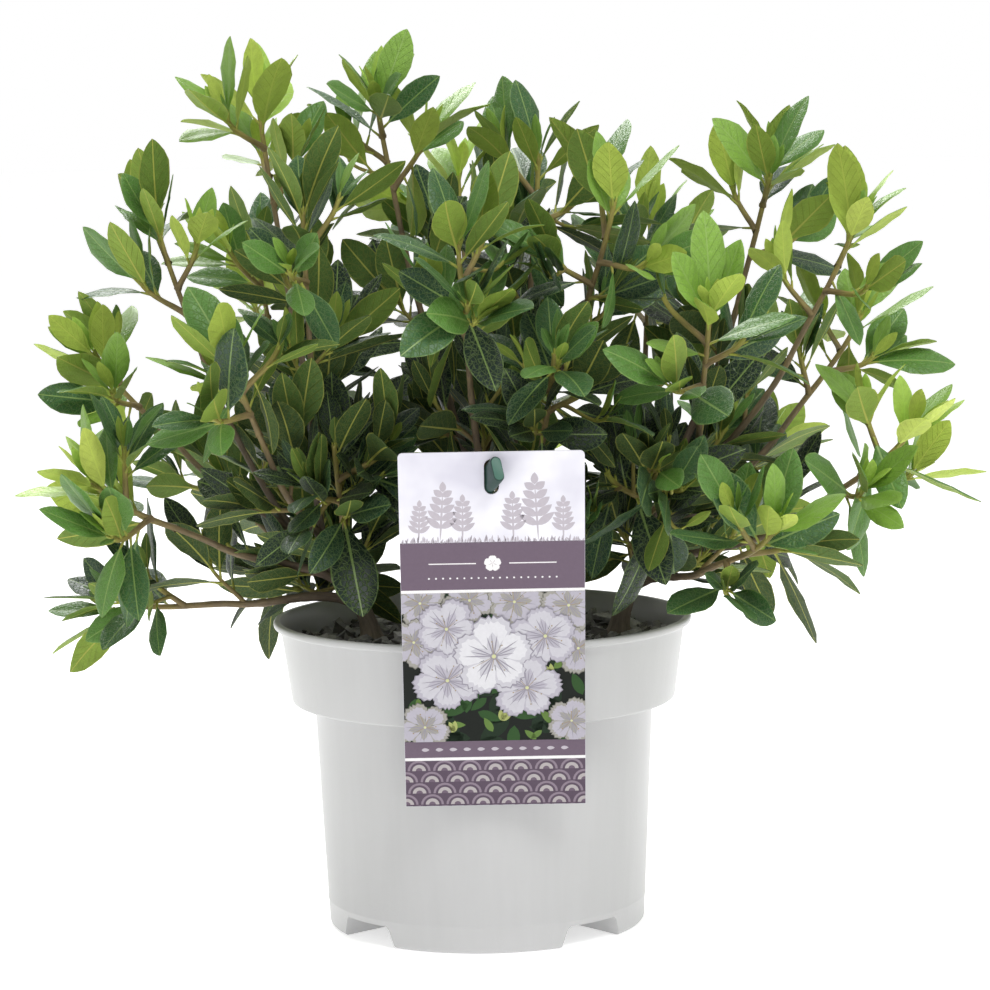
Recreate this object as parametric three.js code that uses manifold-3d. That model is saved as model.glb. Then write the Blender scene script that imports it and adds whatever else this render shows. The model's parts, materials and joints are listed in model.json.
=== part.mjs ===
// An evergreen azalea in its nursery pot, in millimetres, +Z up, with the front towards -Y.
// The origin is the centre of the pot's underside. Three rooted stems share the pot. Each forks into
// tapering boughs, and each bough ends in one mass of foliage that keeps to its own space.
import * as THREE from "three";
import { mergeVertices } from "three/addons/utils/BufferGeometryUtils.js";
import Module from "manifold-3d";

const wasm = await Module();
wasm.setup();

// ---------------------------------------------------------------- driving sizes

const GAP = 0.3; // clearance between pieces that touch

const POT = {
  height: 140,
  rimRadius: 95,
  baseRadius: 72,
  bodyTopRadius: 77,
  collarHeight: 37,
  collarFootRadius: 87.2,
  collarTopRadius: 91.8,
  lipHeight: 3.4,
  lipRound: 1.4,
  wall: 1.8,
  sides: 36,
};

const DRAIN = {
  count: 4,
  firstAngle: -49, // degrees, from +X
  innerRadius: 24,
  height: 9.5,
  topWidth: 27,
  footWidth: 35,
  holeRadius: 4,
  holeDepth: 12,
  holeSides: 12,
  holeAt: 52, // radius of the holes' circle
};

const SOIL = { depthBelowRim: 12.5, edgeDrop: 2.5, flatRadius: 80 };

const LABEL = {
  width: 78,
  length: 164,
  thickness: 0.8,
  cornerRadius: 2,
  foot: [4.5, -79.5, 68.4],
  leanDegrees: 15.4,
  turnDegrees: 0.4,
  holeWidth: 6.2,
  holeLength: 15.8,
  holeFromTop: 11,
};

// The stake is an oblong bar whose end slants up through the label's hole.
const STAKE = {
  width: 4.6,
  length: 11,
  nose: 10.5, // in front of the label
  arm: 16, // behind it, down to the bend
  riseDegrees: 38,
  asideDegrees: 18,
  foot: [4, -52],
  postWidth: 4.6,
};

const TRUNK = {
  rise: 26,
  footRadius: 4.7,
  topRadius: 3.2,
  flare: [[7.4, 0], [5.6, 2.6], [4.3, 6.5]], // radius and height, from the flat cut up to inside the stem
  flareSides: 8,
};

const BOUGH = {
  forkShare: 0.66, // of the parent's radius
  taper: 0.62, // its tip's radius over its root's
  thinnest: 1.5,
  tipThinnest: 1.3,
  rootUp: 0.35, // how far its root turns up from the way it heads
  tipUp: 0.7, // how far a full lift turns its tip up
  stopsShort: 0.85, // of its mass's reach, from the mass's centre
  longestFork: 0.7, // the most of its way that may be fused to its parent
  sides: 5,
  step: 24,
  bows: [0, 10, -10, 20, -20, 32, -32, 46, -46], // sideways, tried in turn with each lift
  lifts: [0, 10, -10, 22],
};

const TWIG = {
  shoots: 4, // in a mass, its stem counted
  rootRadius: 1.45,
  tipRadius: 1.15,
  steps: 2,
  stemSteps: 3,
  tested: 12, // steps along a shoot's way that are tested
  stemBeyond: 0.6, // how far the stem's tip passes the mass's centre, of its reach
  highestRoot: 0.7, // shoots root along the stem from here down to the lowest, as shares of its length
  lowestRoot: 0.12,
  lean: [34, 64], // degrees from the stem's run
  length: [0.5, 0.68], // of the mass's reach
  tipsUp: 0.9,
  drawnBack: [1, 0.8, 0.6], // shares of its length that a shoot tries
  bareTip: 1.6, // from a shoot's end to its first leaf
};

const LEAF = {
  length: 42,
  rootDepth: 0.25, // past the middle of its twig
  width: 0.48, // this and the next five are shares of its own length
  widestAt: 0.55,
  keelAt: 0.32,
  keel: 0.055,
  cup: 0.03,
  nod: 0.05,
  tested: [0.25, 0.5, 0.8], // places on its middle line
  facesUp: 0.2, // how far its upper side turns from its shoot's run to the sky
  tries: 5,
  tryTurn: 0.7, // radians
};

// A shoot's leaves from its tip down: how far apart they root, how far they lean from its run, and
// their size. The first ones make a whorl of upright leaves, and the rest spread.
const WHORL = { leaves: 3, apart: 2.8, lean: [16, 46], size: [0.86, 1.06] };
const SPREAD = { leaves: 2, apart: 6, lean: [48, 76], size: [0.78, 1] };

// How far apart growing things stay, beyond their radii.
const CLEARANCE = {
  limb: 3,
  twig: 2,
  leaf: 1.6,
  fork: 1.7,
  root: 34, // a limb may be near its family for this far from its root
  sampled: 2.5, // spacing of the points that stand for a limb
};

const SEEDS = { shoots: 1000, leaves: 1500 };

// Where each rooted stem stands, and where its top leans to.
const TRUNKS = {
  left: { foot: [-51, 6], top: [-58, 4] },
  middle: { foot: [12, 22], top: [8, 24] },
  right: { foot: [63, 16], top: [69, 14] },
};

// Each bough and the mass at its tip: what it forks from and how far along that, the centre of its mass,
// the mass's reach from there, and how far its tip lifts (1) or droops (-1). A mass has its own number of
// shoots where that isn't the usual one.
const MASSES = [
  { name: "top_left", from: "left", at: 1.0, centre: [-94, 22, 345], reach: 46, lift: 0.5 },
  { name: "left_low", from: "left", at: 0.55, centre: [-144, -6, 150], reach: 38, shoots: 3, lift: 0 },
  { name: "front_left_low", from: "left", at: 0.75, centre: [-148, -44, 196], reach: 46, lift: 0.1 },
  { name: "left_middle", from: "left", at: 0.9, centre: [-156, 4, 242], reach: 44, lift: 0.25 },
  { name: "left_upper", from: "left_middle", at: 0.42, centre: [-136, 6, 295], reach: 44, lift: 0.5 },
  { name: "front_left", from: "left", at: 0.95, centre: [-99, -74, 244], reach: 44, lift: 0.5 },
  { name: "front_left_upper", from: "front_left", at: 0.4, centre: [-74, -56, 300], reach: 44, lift: 0.7 },
  { name: "back_left_low", from: "left", at: 0.65, centre: [-115, 86, 186], reach: 50, lift: 0.2 },
  { name: "back_left", from: "back_left_low", at: 0.35, centre: [-100, 84, 278], reach: 50, lift: 0.5 },
  { name: "top_middle_left", from: "middle", at: 1.0, centre: [-40, 24, 350], reach: 44, lift: 0.6 },
  { name: "front_middle_left", from: "left", at: 0.8, centre: [-62, -42, 202], reach: 42, lift: 0.6 },
  { name: "front_middle", from: "middle", at: 0.75, centre: [30, -64, 242], reach: 42, lift: 0.6 },
  { name: "front_middle_upper", from: "middle", at: 0.9, centre: [-6, -82, 288], reach: 44, lift: 0.7 },
  { name: "top_middle", from: "middle", at: 0.95, centre: [27, 10, 321], reach: 44, lift: 0.6 },
  { name: "front_right_upper", from: "top_middle", at: 0.4, centre: [54, -54, 306], reach: 42, lift: 0.6 },
  { name: "back_middle_low", from: "middle", at: 0.6, centre: [8, 132, 204], reach: 52, lift: 0.1 },
  { name: "back_middle", from: "middle", at: 0.85, centre: [-6, 102, 308], reach: 52, lift: 0.5 },
  { name: "right_upper", from: "right", at: 1.0, centre: [157, -12, 290], reach: 44, lift: 0.4 },
  { name: "top_right", from: "right", at: 0.95, centre: [129, 26, 316], reach: 44, lift: 0.6 },
  { name: "front_right", from: "right_upper", at: 0.38, centre: [98, -72, 262], reach: 44, lift: 0.5 },
  { name: "right_middle", from: "right", at: 0.85, centre: [162, 34, 250], reach: 44, lift: 0.3 },
  { name: "right_low", from: "right", at: 0.75, centre: [172, -22, 207], reach: 46, lift: 0.3 },
  { name: "front_right_low", from: "right", at: 0.6, centre: [114, -74, 178], reach: 42, lift: 0.1 },
  { name: "front_right_middle", from: "right", at: 0.8, centre: [73, -50, 200], reach: 40, lift: 0.4 },
  { name: "back_right", from: "right", at: 0.9, centre: [82, 94, 284], reach: 50, lift: 0.5 },
  { name: "back_right_low", from: "right", at: 0.65, centre: [124, 96, 188], reach: 50, lift: 0.15 },
];

const COLOURS = {
  pot: [0.62, 0.62, 0.62],
  soil: [0.07, 0.06, 0.055],
  bark: [0.23, 0.16, 0.11],
  label: [0.85, 0.84, 0.86],
  stake: [0.05, 0.16, 0.13],
  leaf: [0.13, 0.27, 0.06],
};

// ---------------------------------------------------------------- shapes and solids

const UP = new THREE.Vector3(0, 0, 1);
const ASIDE = new THREE.Vector3(0.31, 0.95, 0.05).normalize(); // no limb runs this way
const GOLDEN_ANGLE = Math.PI * (3 - Math.sqrt(5));

function vector(values) {
  return new THREE.Vector3(...values);
}

function radians(degrees) {
  return THREE.MathUtils.degToRad(degrees);
}

function solid(geometry) {
  const bare = geometry.clone();
  bare.deleteAttribute("normal");
  bare.deleteAttribute("uv");
  const merged = mergeVertices(bare, 1e-4);
  return new wasm.Manifold(
    new wasm.Mesh({
      numProp: 3,
      vertProperties: merged.attributes.position.array,
      triVerts: new Uint32Array(merged.index.array),
    }),
  );
}

function union(solids) {
  return wasm.Manifold.union(solids);
}

// The outer skin of the largest body: loose scraps go, and hollows that fusing sealed are filled.
function wholeBody(made) {
  return made.decompose().reduce((a, b) => (b.volume() > a.volume() ? b : a));
}

function mesh(name, made, colour, roughness = 0.6) {
  const { vertProperties, triVerts, numProp } = made.getMesh();
  const positions = new Float32Array((vertProperties.length / numProp) * 3);
  for (let i = 0; i < positions.length / 3; i++)
    positions.set(vertProperties.subarray(i * numProp, i * numProp + 3), i * 3);
  const geometry = new THREE.BufferGeometry()
    .setAttribute("position", new THREE.BufferAttribute(positions, 3))
    .setIndex(new THREE.BufferAttribute(triVerts, 1));
  geometry.computeVertexNormals();
  const material = new THREE.MeshStandardMaterial({
    color: new THREE.Color(...colour),
    roughness,
    metalness: 0,
  });
  const node = new THREE.Mesh(geometry, material);
  node.name = name;
  return node;
}

// A solid of revolution about Z, from [radius, height] pairs that run up the outside.
function turned(profile, sides) {
  const points = profile.map(([r, z]) => new THREE.Vector2(r, z));
  return solid(new THREE.LatheGeometry(points, sides).rotateX(Math.PI / 2));
}

// A seeded source of numbers from 0 to 1 (mulberry32), so that every mass grows the same way each time.
function seeded(seed) {
  let state = seed >>> 0;
  return () => {
    state = (state + 0x6d2b79f5) >>> 0;
    let t = state;
    t = Math.imul(t ^ (t >>> 15), t | 1);
    t ^= t + Math.imul(t ^ (t >>> 7), t | 61);
    return ((t ^ (t >>> 14)) >>> 0) / 4294967296;
  };
}

// ---------------------------------------------------------------- pot and soil

const SOIL_TOP = POT.height - SOIL.depthBelowRim;
const COLLAR_FOOT = POT.height - POT.collarHeight;

// The pot's outside, from the centre of the underside up to the lip.
function potOutside() {
  const { height, rimRadius, baseRadius, bodyTopRadius, lipHeight } = POT;
  return [
    [0, 0],
    [baseRadius - 1, 0],
    [baseRadius, 2],
    [bodyTopRadius, COLLAR_FOOT - 2],
    [POT.collarFootRadius, COLLAR_FOOT],
    [POT.collarTopRadius, height - lipHeight - 1],
    [rimRadius - POT.lipRound / 3, height - lipHeight],
    [rimRadius, height - lipHeight / 2],
    [rimRadius - POT.lipRound, height],
  ];
}

// The pot's inside, from the floor's centre up to the mouth, drawn in by a margin on every wall.
function potInside(margin, top) {
  const inset = POT.wall + margin;
  const mouth = POT.collarTopRadius - inset + 1;
  const share = (top - COLLAR_FOOT) / (POT.height - COLLAR_FOOT);
  const atTop = THREE.MathUtils.lerp(POT.collarFootRadius - inset, mouth, share);
  return [
    [0, inset],
    [POT.baseRadius - inset, inset],
    [POT.bodyTopRadius - inset, COLLAR_FOOT - 1 + inset],
    [POT.collarFootRadius - inset, COLLAR_FOOT + inset],
    [atTop, top],
  ];
}

// A drain tunnel's section, pulled out along the radius from under the floor, grown by a margin.
function drainBar(angle, margin) {
  const { innerRadius, height, topWidth, footWidth } = DRAIN;
  const top = topWidth / 2 + margin;
  const foot = footWidth / 2 + margin;
  const section = new THREE.Shape([
    new THREE.Vector2(-foot, -height),
    new THREE.Vector2(foot, -height),
    new THREE.Vector2(foot, 0),
    new THREE.Vector2(top, height + margin),
    new THREE.Vector2(-top, height + margin),
    new THREE.Vector2(-foot, 0),
  ]);
  const bar = new THREE.ExtrudeGeometry(section, {
    depth: POT.rimRadius - innerRadius + margin,
    bevelEnabled: false,
  });
  // The section's plane turns upright, and its length then runs along +X.
  bar.rotateX(Math.PI / 2).rotateZ(Math.PI / 2);
  bar.translate(innerRadius - margin, 0, 0).rotateZ(radians(angle));
  return solid(bar);
}

function drainHole(angle) {
  const { holeRadius, holeDepth, holeSides } = DRAIN;
  const hole = new THREE.CylinderGeometry(holeRadius, holeRadius, holeDepth, holeSides);
  hole.rotateX(Math.PI / 2).translate(DRAIN.holeAt, 0, DRAIN.height).rotateZ(radians(angle));
  return solid(hole);
}

const drainAngles = Array.from(
  { length: DRAIN.count },
  (_, i) => DRAIN.firstAngle + (360 / DRAIN.count) * i,
);

function potSolid() {
  const outside = turned([...potOutside(), [0, POT.height]], POT.sides);
  const above = POT.height + POT.wall;
  const cavity = turned([...potInside(0, above), [0, above]], POT.sides);
  const walls = union(drainAngles.map((angle) => drainBar(angle, POT.wall))).intersect(outside);
  const tunnels = union(drainAngles.map((angle) => drainBar(angle, 0)));
  const holes = union(drainAngles.map(drainHole));
  return outside.subtract(cavity).add(walls).subtract(tunnels).subtract(holes);
}

function soilSolid() {
  const edge = SOIL_TOP - SOIL.edgeDrop;
  const fill = turned([...potInside(GAP, edge), [SOIL.flatRadius, SOIL_TOP], [0, SOIL_TOP]], POT.sides);
  const ridges = union(drainAngles.map((angle) => drainBar(angle, POT.wall + GAP)));
  return fill.subtract(ridges);
}

// What lies under the flat cut of all that stands on the soil.
function ground() {
  const side = 3 * POT.height;
  return solid(new THREE.BoxGeometry(side, side, side).translate(0, 0, SOIL_TOP + GAP - side / 2));
}

// ---------------------------------------------------------------- label and its stake

// The label's own frame: x across, y up its face and z out of its front, with its foot at the origin.
const LABEL_FRAME = new THREE.Matrix4()
  .makeTranslation(...LABEL.foot)
  .multiply(new THREE.Matrix4().makeRotationZ(radians(LABEL.turnDegrees)))
  .multiply(new THREE.Matrix4().makeRotationX(radians(90 + LABEL.leanDegrees)));
const LABEL_FRAME_INVERSE = LABEL_FRAME.clone().invert();

// The frame of the stake's slanting end: z runs out through the middle of the label's hole.
const ARM_FRAME = LABEL_FRAME.clone()
  .multiply(new THREE.Matrix4().makeTranslation(0, LABEL.length - LABEL.holeFromTop, LABEL.thickness / 2))
  .multiply(new THREE.Matrix4().makeRotationY(radians(STAKE.asideDegrees)))
  .multiply(new THREE.Matrix4().makeRotationX(radians(-STAKE.riseDegrees)));

// The stake's own corners: its foot on the soil, its bend behind the label, and its nose in front.
const STAKE_FOOT = vector([...STAKE.foot, SOIL_TOP + GAP]);
const STAKE_BEND = vector([0, 0, -STAKE.arm]).applyMatrix4(ARM_FRAME);
const STAKE_NOSE = vector([0, 0, STAKE.nose]).applyMatrix4(ARM_FRAME);

// Adds a slot with half-round ends, centred at a height on the path's own Y axis.
function stadium(path, width, length, height) {
  const r = width / 2;
  const straight = length / 2 - r;
  path.moveTo(r, height - straight);
  path.lineTo(r, height + straight);
  path.absarc(0, height + straight, r, 0, Math.PI, false);
  path.lineTo(-r, height - straight);
  path.absarc(0, height - straight, r, Math.PI, 2 * Math.PI, false);
  return path;
}

function labelSolid() {
  const { width, length, thickness, cornerRadius, holeWidth, holeLength, holeFromTop } = LABEL;
  const half = width / 2;
  const inner = half - cornerRadius;
  const card = new THREE.Shape();
  card.moveTo(-half, 0);
  card.lineTo(half, 0);
  card.lineTo(half, length - cornerRadius);
  card.absarc(inner, length - cornerRadius, cornerRadius, 0, Math.PI / 2, false);
  card.lineTo(-inner, length);
  card.absarc(-inner, length - cornerRadius, cornerRadius, Math.PI / 2, Math.PI, false);
  card.closePath();
  card.holes.push(stadium(new THREE.Path(), holeWidth, holeLength, length - holeFromTop));
  const options = { depth: thickness, bevelEnabled: false, curveSegments: 4 };
  return solid(new THREE.ExtrudeGeometry(card, options).applyMatrix4(LABEL_FRAME));
}

// The stake rises from the soil, bends forward and pokes its nose through the label's hole.
function stakeSolid() {
  const { width, length, nose, postWidth } = STAKE;
  const section = stadium(new THREE.Shape(), width, length, 0);
  const options = { depth: nose + STAKE.arm, bevelEnabled: false, curveSegments: 4 };
  const arm = new THREE.ExtrudeGeometry(section, options);
  arm.translate(0, 0, -STAKE.arm).applyMatrix4(ARM_FRAME);
  const leg = STAKE_BEND.clone().sub(STAKE_FOOT);
  const reach = leg.length();
  const post = new THREE.BoxGeometry(postWidth, postWidth, 2 * reach);
  const lean = new THREE.Quaternion().setFromUnitVectors(UP, leg.normalize());
  post.applyQuaternion(lean).translate(...STAKE_FOOT);
  return solid(post).subtract(ground()).add(solid(arm));
}

// ---------------------------------------------------------------- what growth keeps clear of

// Whether a point lies within a margin of the pot's collar, or of the soil inside it.
function nearPot(point, margin) {
  const across = Math.hypot(point.x, point.y);
  if (across > POT.rimRadius + margin || point.z > POT.height + margin) return false;
  return across > POT.collarFootRadius - 2 * margin || point.z < SOIL_TOP + margin;
}

// Whether a point lies within a margin of the label or its stake, or in front of the label.
function nearLabel(point, margin) {
  const onLabel = point.clone().applyMatrix4(LABEL_FRAME_INVERSE);
  const beside = Math.abs(onLabel.x) > LABEL.width / 2 + margin;
  const above = onLabel.y > LABEL.length + margin;
  if (!beside && !above && onLabel.z > -margin) return true;
  return [STAKE_FOOT, STAKE_NOSE].some((end) => {
    const nearest = new THREE.Line3(end, STAKE_BEND).closestPointToPoint(point, true, new THREE.Vector3());
    return nearest.distanceTo(point) < STAKE.length / 2 + margin;
  });
}

// ---------------------------------------------------------------- limbs

// A frame at a point on a path: the way the path runs and two directions across it, right-handed.
function crossFrame(point, along) {
  const across = new THREE.Vector3().crossVectors(along, ASIDE).normalize();
  const over = new THREE.Vector3().crossVectors(across, along);
  return { point, along, across, over };
}

// A tapering limb's or twig's path: straight steps between rings that lie on a curve.
class Path {
  constructor(curve, from, to, steps) {
    this.steps = steps;
    this.rings = Array.from({ length: steps + 1 }, (_, i) => {
      const t = THREE.MathUtils.lerp(from, to, i / steps);
      return crossFrame(curve.getPoint(t), curve.getTangent(t));
    });
  }

  // The frame at a share of the steps, on the straight line between two rings.
  at(share) {
    const step = Math.min(Math.floor(share * this.steps), this.steps - 1);
    const [a, b] = [this.rings[step].point, this.rings[step + 1].point];
    return crossFrame(a.clone().lerp(b, share * this.steps - step), b.clone().sub(a).normalize());
  }

  // A closed tube: a cylinder whose rings are moved onto the path's.
  solid(startRadius, endRadius, sides) {
    const cylinder = new THREE.CylinderGeometry(1, 1, 1, sides, this.steps);
    const position = cylinder.attributes.position;
    const spot = new THREE.Vector3();
    for (let i = 0; i < position.count; i++) {
      spot.fromBufferAttribute(position, i);
      const share = spot.y + 0.5;
      const radius = THREE.MathUtils.lerp(startRadius, endRadius, share);
      const { point, across, over } = this.rings[Math.round(share * this.steps)];
      const corner = point.clone().addScaledVector(across, spot.x * radius);
      corner.addScaledVector(over, spot.z * radius);
      position.setXYZ(i, ...corner);
    }
    return solid(cylinder);
  }
}

// A bending way from one point to another, leaving and arriving along given directions.
function bend(start, startWay, end, endWay, bow) {
  const span = start.distanceTo(end) / 3;
  const first = start.clone().addScaledVector(startWay, span).addScaledVector(bow, 0.5);
  const second = end.clone().addScaledVector(endWay, -span).add(bow);
  return new THREE.CubicBezierCurve3(start, first, second, end);
}

class Limb {
  constructor(name, curve, startRadius, endRadius) {
    Object.assign(this, { name, curve, startRadius, endRadius });
    this.length = curve.getLength();
    this.children = [];
    this.cut = 0; // the share of its way that is fused to the limb it forks from
    const count = Math.ceil(this.length / CLEARANCE.sampled);
    this.samples = Array.from({ length: count + 1 }, (_, i) => {
      const t = i / count;
      return { t, point: curve.getPoint(t), radius: this.radiusAt(t), limb: this };
    });
  }

  radiusAt(t) {
    return THREE.MathUtils.lerp(this.startRadius, this.endRadius, t);
  }

  piece(from, to) {
    const steps = Math.max(2, Math.ceil(((to - from) * this.length) / BOUGH.step));
    const path = new Path(this.curve, from, to, steps);
    return path.solid(this.radiusAt(from), this.radiusAt(to), BOUGH.sides);
  }

  // The limb's own wood, and the first stretch of each limb that forks from it.
  solid() {
    const from = this.cut ? this.cut + GAP / this.length : 0;
    const forks = this.children.map((child) => child.piece(0, child.cut));
    return wholeBody(union([this.piece(from, 1), ...forks]));
  }
}

// A rooted stem: a limb whose foot flares to a flat cut on the soil.
class Trunk extends Limb {
  constructor(name, { foot, top }) {
    const start = vector([...foot, SOIL_TOP + GAP]);
    const end = vector([...top, SOIL_TOP + TRUNK.rise]);
    const way = end.clone().sub(start).normalize();
    const curve = bend(start, UP, end, way, new THREE.Vector3());
    super(`trunk_${name}`, curve, TRUNK.footRadius, TRUNK.topRadius);
  }

  solid() {
    const top = TRUNK.flare.at(-1)[1];
    const flare = turned([[0, 0], ...TRUNK.flare, [0, top]], TRUNK.flareSides);
    const rooted = flare.translate([...this.curve.getPoint(0)]);
    return wholeBody(super.solid().add(rooted).subtract(ground()));
  }
}

// The last place on a limb that is still nearer to another than its fork's clearance allows.
function lastTouch(limb, other) {
  const touching = limb.samples.filter((a) =>
    other.samples.some((b) => a.point.distanceTo(b.point) < a.radius + b.radius + CLEARANCE.fork),
  );
  return Math.max(0, ...touching.map((sample) => sample.t));
}

// Each child's first stretch, until it is clear of its parent and siblings, belongs to its parent.
function settleForks(parent) {
  for (const child of parent.children) {
    const family = [parent, ...parent.children].filter((limb) => limb !== child);
    const touch = Math.max(...family.map((limb) => lastTouch(child, limb)));
    child.cut = touch + CLEARANCE.sampled / child.length;
    if (child.cut > BOUGH.longestFork) throw new Error(`${child.name} never leaves its neighbours`);
  }
}

// Whether a limb's way is clear of the pot, the label and earlier limbs, but for its family at its root.
function isClear(curve, radius, limbs, family) {
  const length = curve.getLength();
  const count = Math.ceil(length / CLEARANCE.sampled);
  for (let i = 0; i <= count; i++) {
    const point = curve.getPoint(i / count);
    if (nearPot(point, radius + CLEARANCE.limb) || nearLabel(point, radius + CLEARANCE.limb)) return false;
    const atRoot = (i / count) * length < CLEARANCE.root;
    const others = atRoot ? limbs.filter((limb) => !family.includes(limb)) : limbs;
    for (const { samples } of others)
      if (samples.some((s) => s.point.distanceTo(point) < s.radius + radius + CLEARANCE.limb)) return false;
  }
  return true;
}

// The bows that a bough tries in turn, sideways and upwards, until it is clear of the limbs before it.
function bows(chord) {
  const side = new THREE.Vector3().crossVectors(chord, UP).normalize();
  return BOUGH.bows.flatMap((size) =>
    BOUGH.lifts.map((lift) => side.clone().multiplyScalar(size).addScaledVector(UP, lift)),
  );
}

function growBough({ name, from, at, centre, reach, lift }, limbs) {
  const parent = limbs.get(from);
  const start = parent.curve.getPoint(at);
  const chord = vector(centre).sub(start).normalize();
  const forward = chord.clone().add(parent.curve.getTangent(at));
  const startWay = forward.addScaledVector(UP, BOUGH.rootUp).normalize();
  const endWay = chord.clone().addScaledVector(UP, lift * BOUGH.tipUp).normalize();
  const end = vector(centre).addScaledVector(endWay, -BOUGH.stopsShort * reach);
  const startRadius = Math.max(BOUGH.thinnest, parent.radiusAt(at) * BOUGH.forkShare);
  const endRadius = Math.max(BOUGH.tipThinnest, startRadius * BOUGH.taper);
  const family = [parent, ...parent.children];
  const curve = bows(chord)
    .values()
    .map((bow) => bend(start, startWay, end, endWay, bow))
    .find((tried) => isClear(tried, startRadius, [...limbs.values()], family));
  if (!curve) throw new Error(`bough ${name} finds no clear way`);
  const limb = new Limb(`bough_${name}`, curve, startRadius, endRadius);
  parent.children.push(limb);
  return limb;
}

function growLimbs() {
  const limbs = new Map(Object.entries(TRUNKS).map(([name, trunk]) => [name, new Trunk(name, trunk)]));
  for (const mass of MASSES) limbs.set(mass.name, growBough(mass, limbs));
  for (const limb of limbs.values()) settleForks(limb);
  return limbs;
}

// ---------------------------------------------------------------- foliage

// How deep a point lies in a mass's own space: nearer to its centre than to any other's, weighed by
// their reach. It is less than 0 outside.
function depthInSpace(point, mass) {
  const own = point.distanceToSquared(vector(mass.centre)) - mass.reach ** 2;
  const depths = MASSES.filter((other) => other !== mass).map((other) => {
    const centre = vector(other.centre);
    const theirs = point.distanceToSquared(centre) - other.reach ** 2;
    return (theirs - own) / (2 * centre.distanceTo(vector(mass.centre)));
  });
  return Math.min(...depths);
}

// A keeled leaf of six faces, from its root at the origin along +Y, with its upper side towards +Z.
// Its keel is deepest near the root, as a midrib is.
function leafGeometry(length) {
  const half = (length * LEAF.width) / 2;
  const widest = length * LEAF.widestAt;
  const corners = [
    [0, -LEAF.rootDepth, 0],
    [-half, widest, length * LEAF.cup],
    [half, widest, length * LEAF.cup],
    [0, length * LEAF.keelAt, -length * LEAF.keel],
    [0, length, -length * LEAF.nod],
  ];
  const upper = [[0, 2, 1], [1, 2, 4]];
  const under = [[0, 1, 3], [0, 3, 2], [1, 4, 3], [3, 4, 2]];
  const geometry = new THREE.BufferGeometry();
  geometry.setAttribute("position", new THREE.Float32BufferAttribute(corners.flat(), 3));
  return geometry.setIndex([...upper, ...under].flat());
}

// A leaf's frame: where it is rooted, the way it points, and the way its upper side is turned.
function leafFrame(root, way, facing) {
  const across = new THREE.Vector3().crossVectors(way, facing).normalize();
  const over = new THREE.Vector3().crossVectors(across, way).normalize();
  return new THREE.Matrix4().makeBasis(across, way, over).setPosition(root);
}

// A direction that leans from a frame's run by an angle, turned round it.
function leaning({ along, across, over }, turn, lean) {
  const side = across.clone().multiplyScalar(Math.cos(turn)).addScaledVector(over, Math.sin(turn));
  return side.multiplyScalar(Math.sin(lean)).addScaledVector(along, Math.cos(lean)).normalize();
}

// Whether a limb passes through a leaf, judged by the limb's samples in the leaf's own frame.
function limbTouchesLeaf({ point, radius }, inverse, length) {
  const spot = point.clone().applyMatrix4(inverse);
  const reach = radius + CLEARANCE.leaf;
  const beyond = spot.y < -reach || spot.y > length + reach;
  const over = Math.abs(spot.z) > reach + LEAF.keel * length;
  return !beyond && !over && Math.abs(spot.x) < (length * LEAF.width) / 2 + reach;
}

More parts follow.
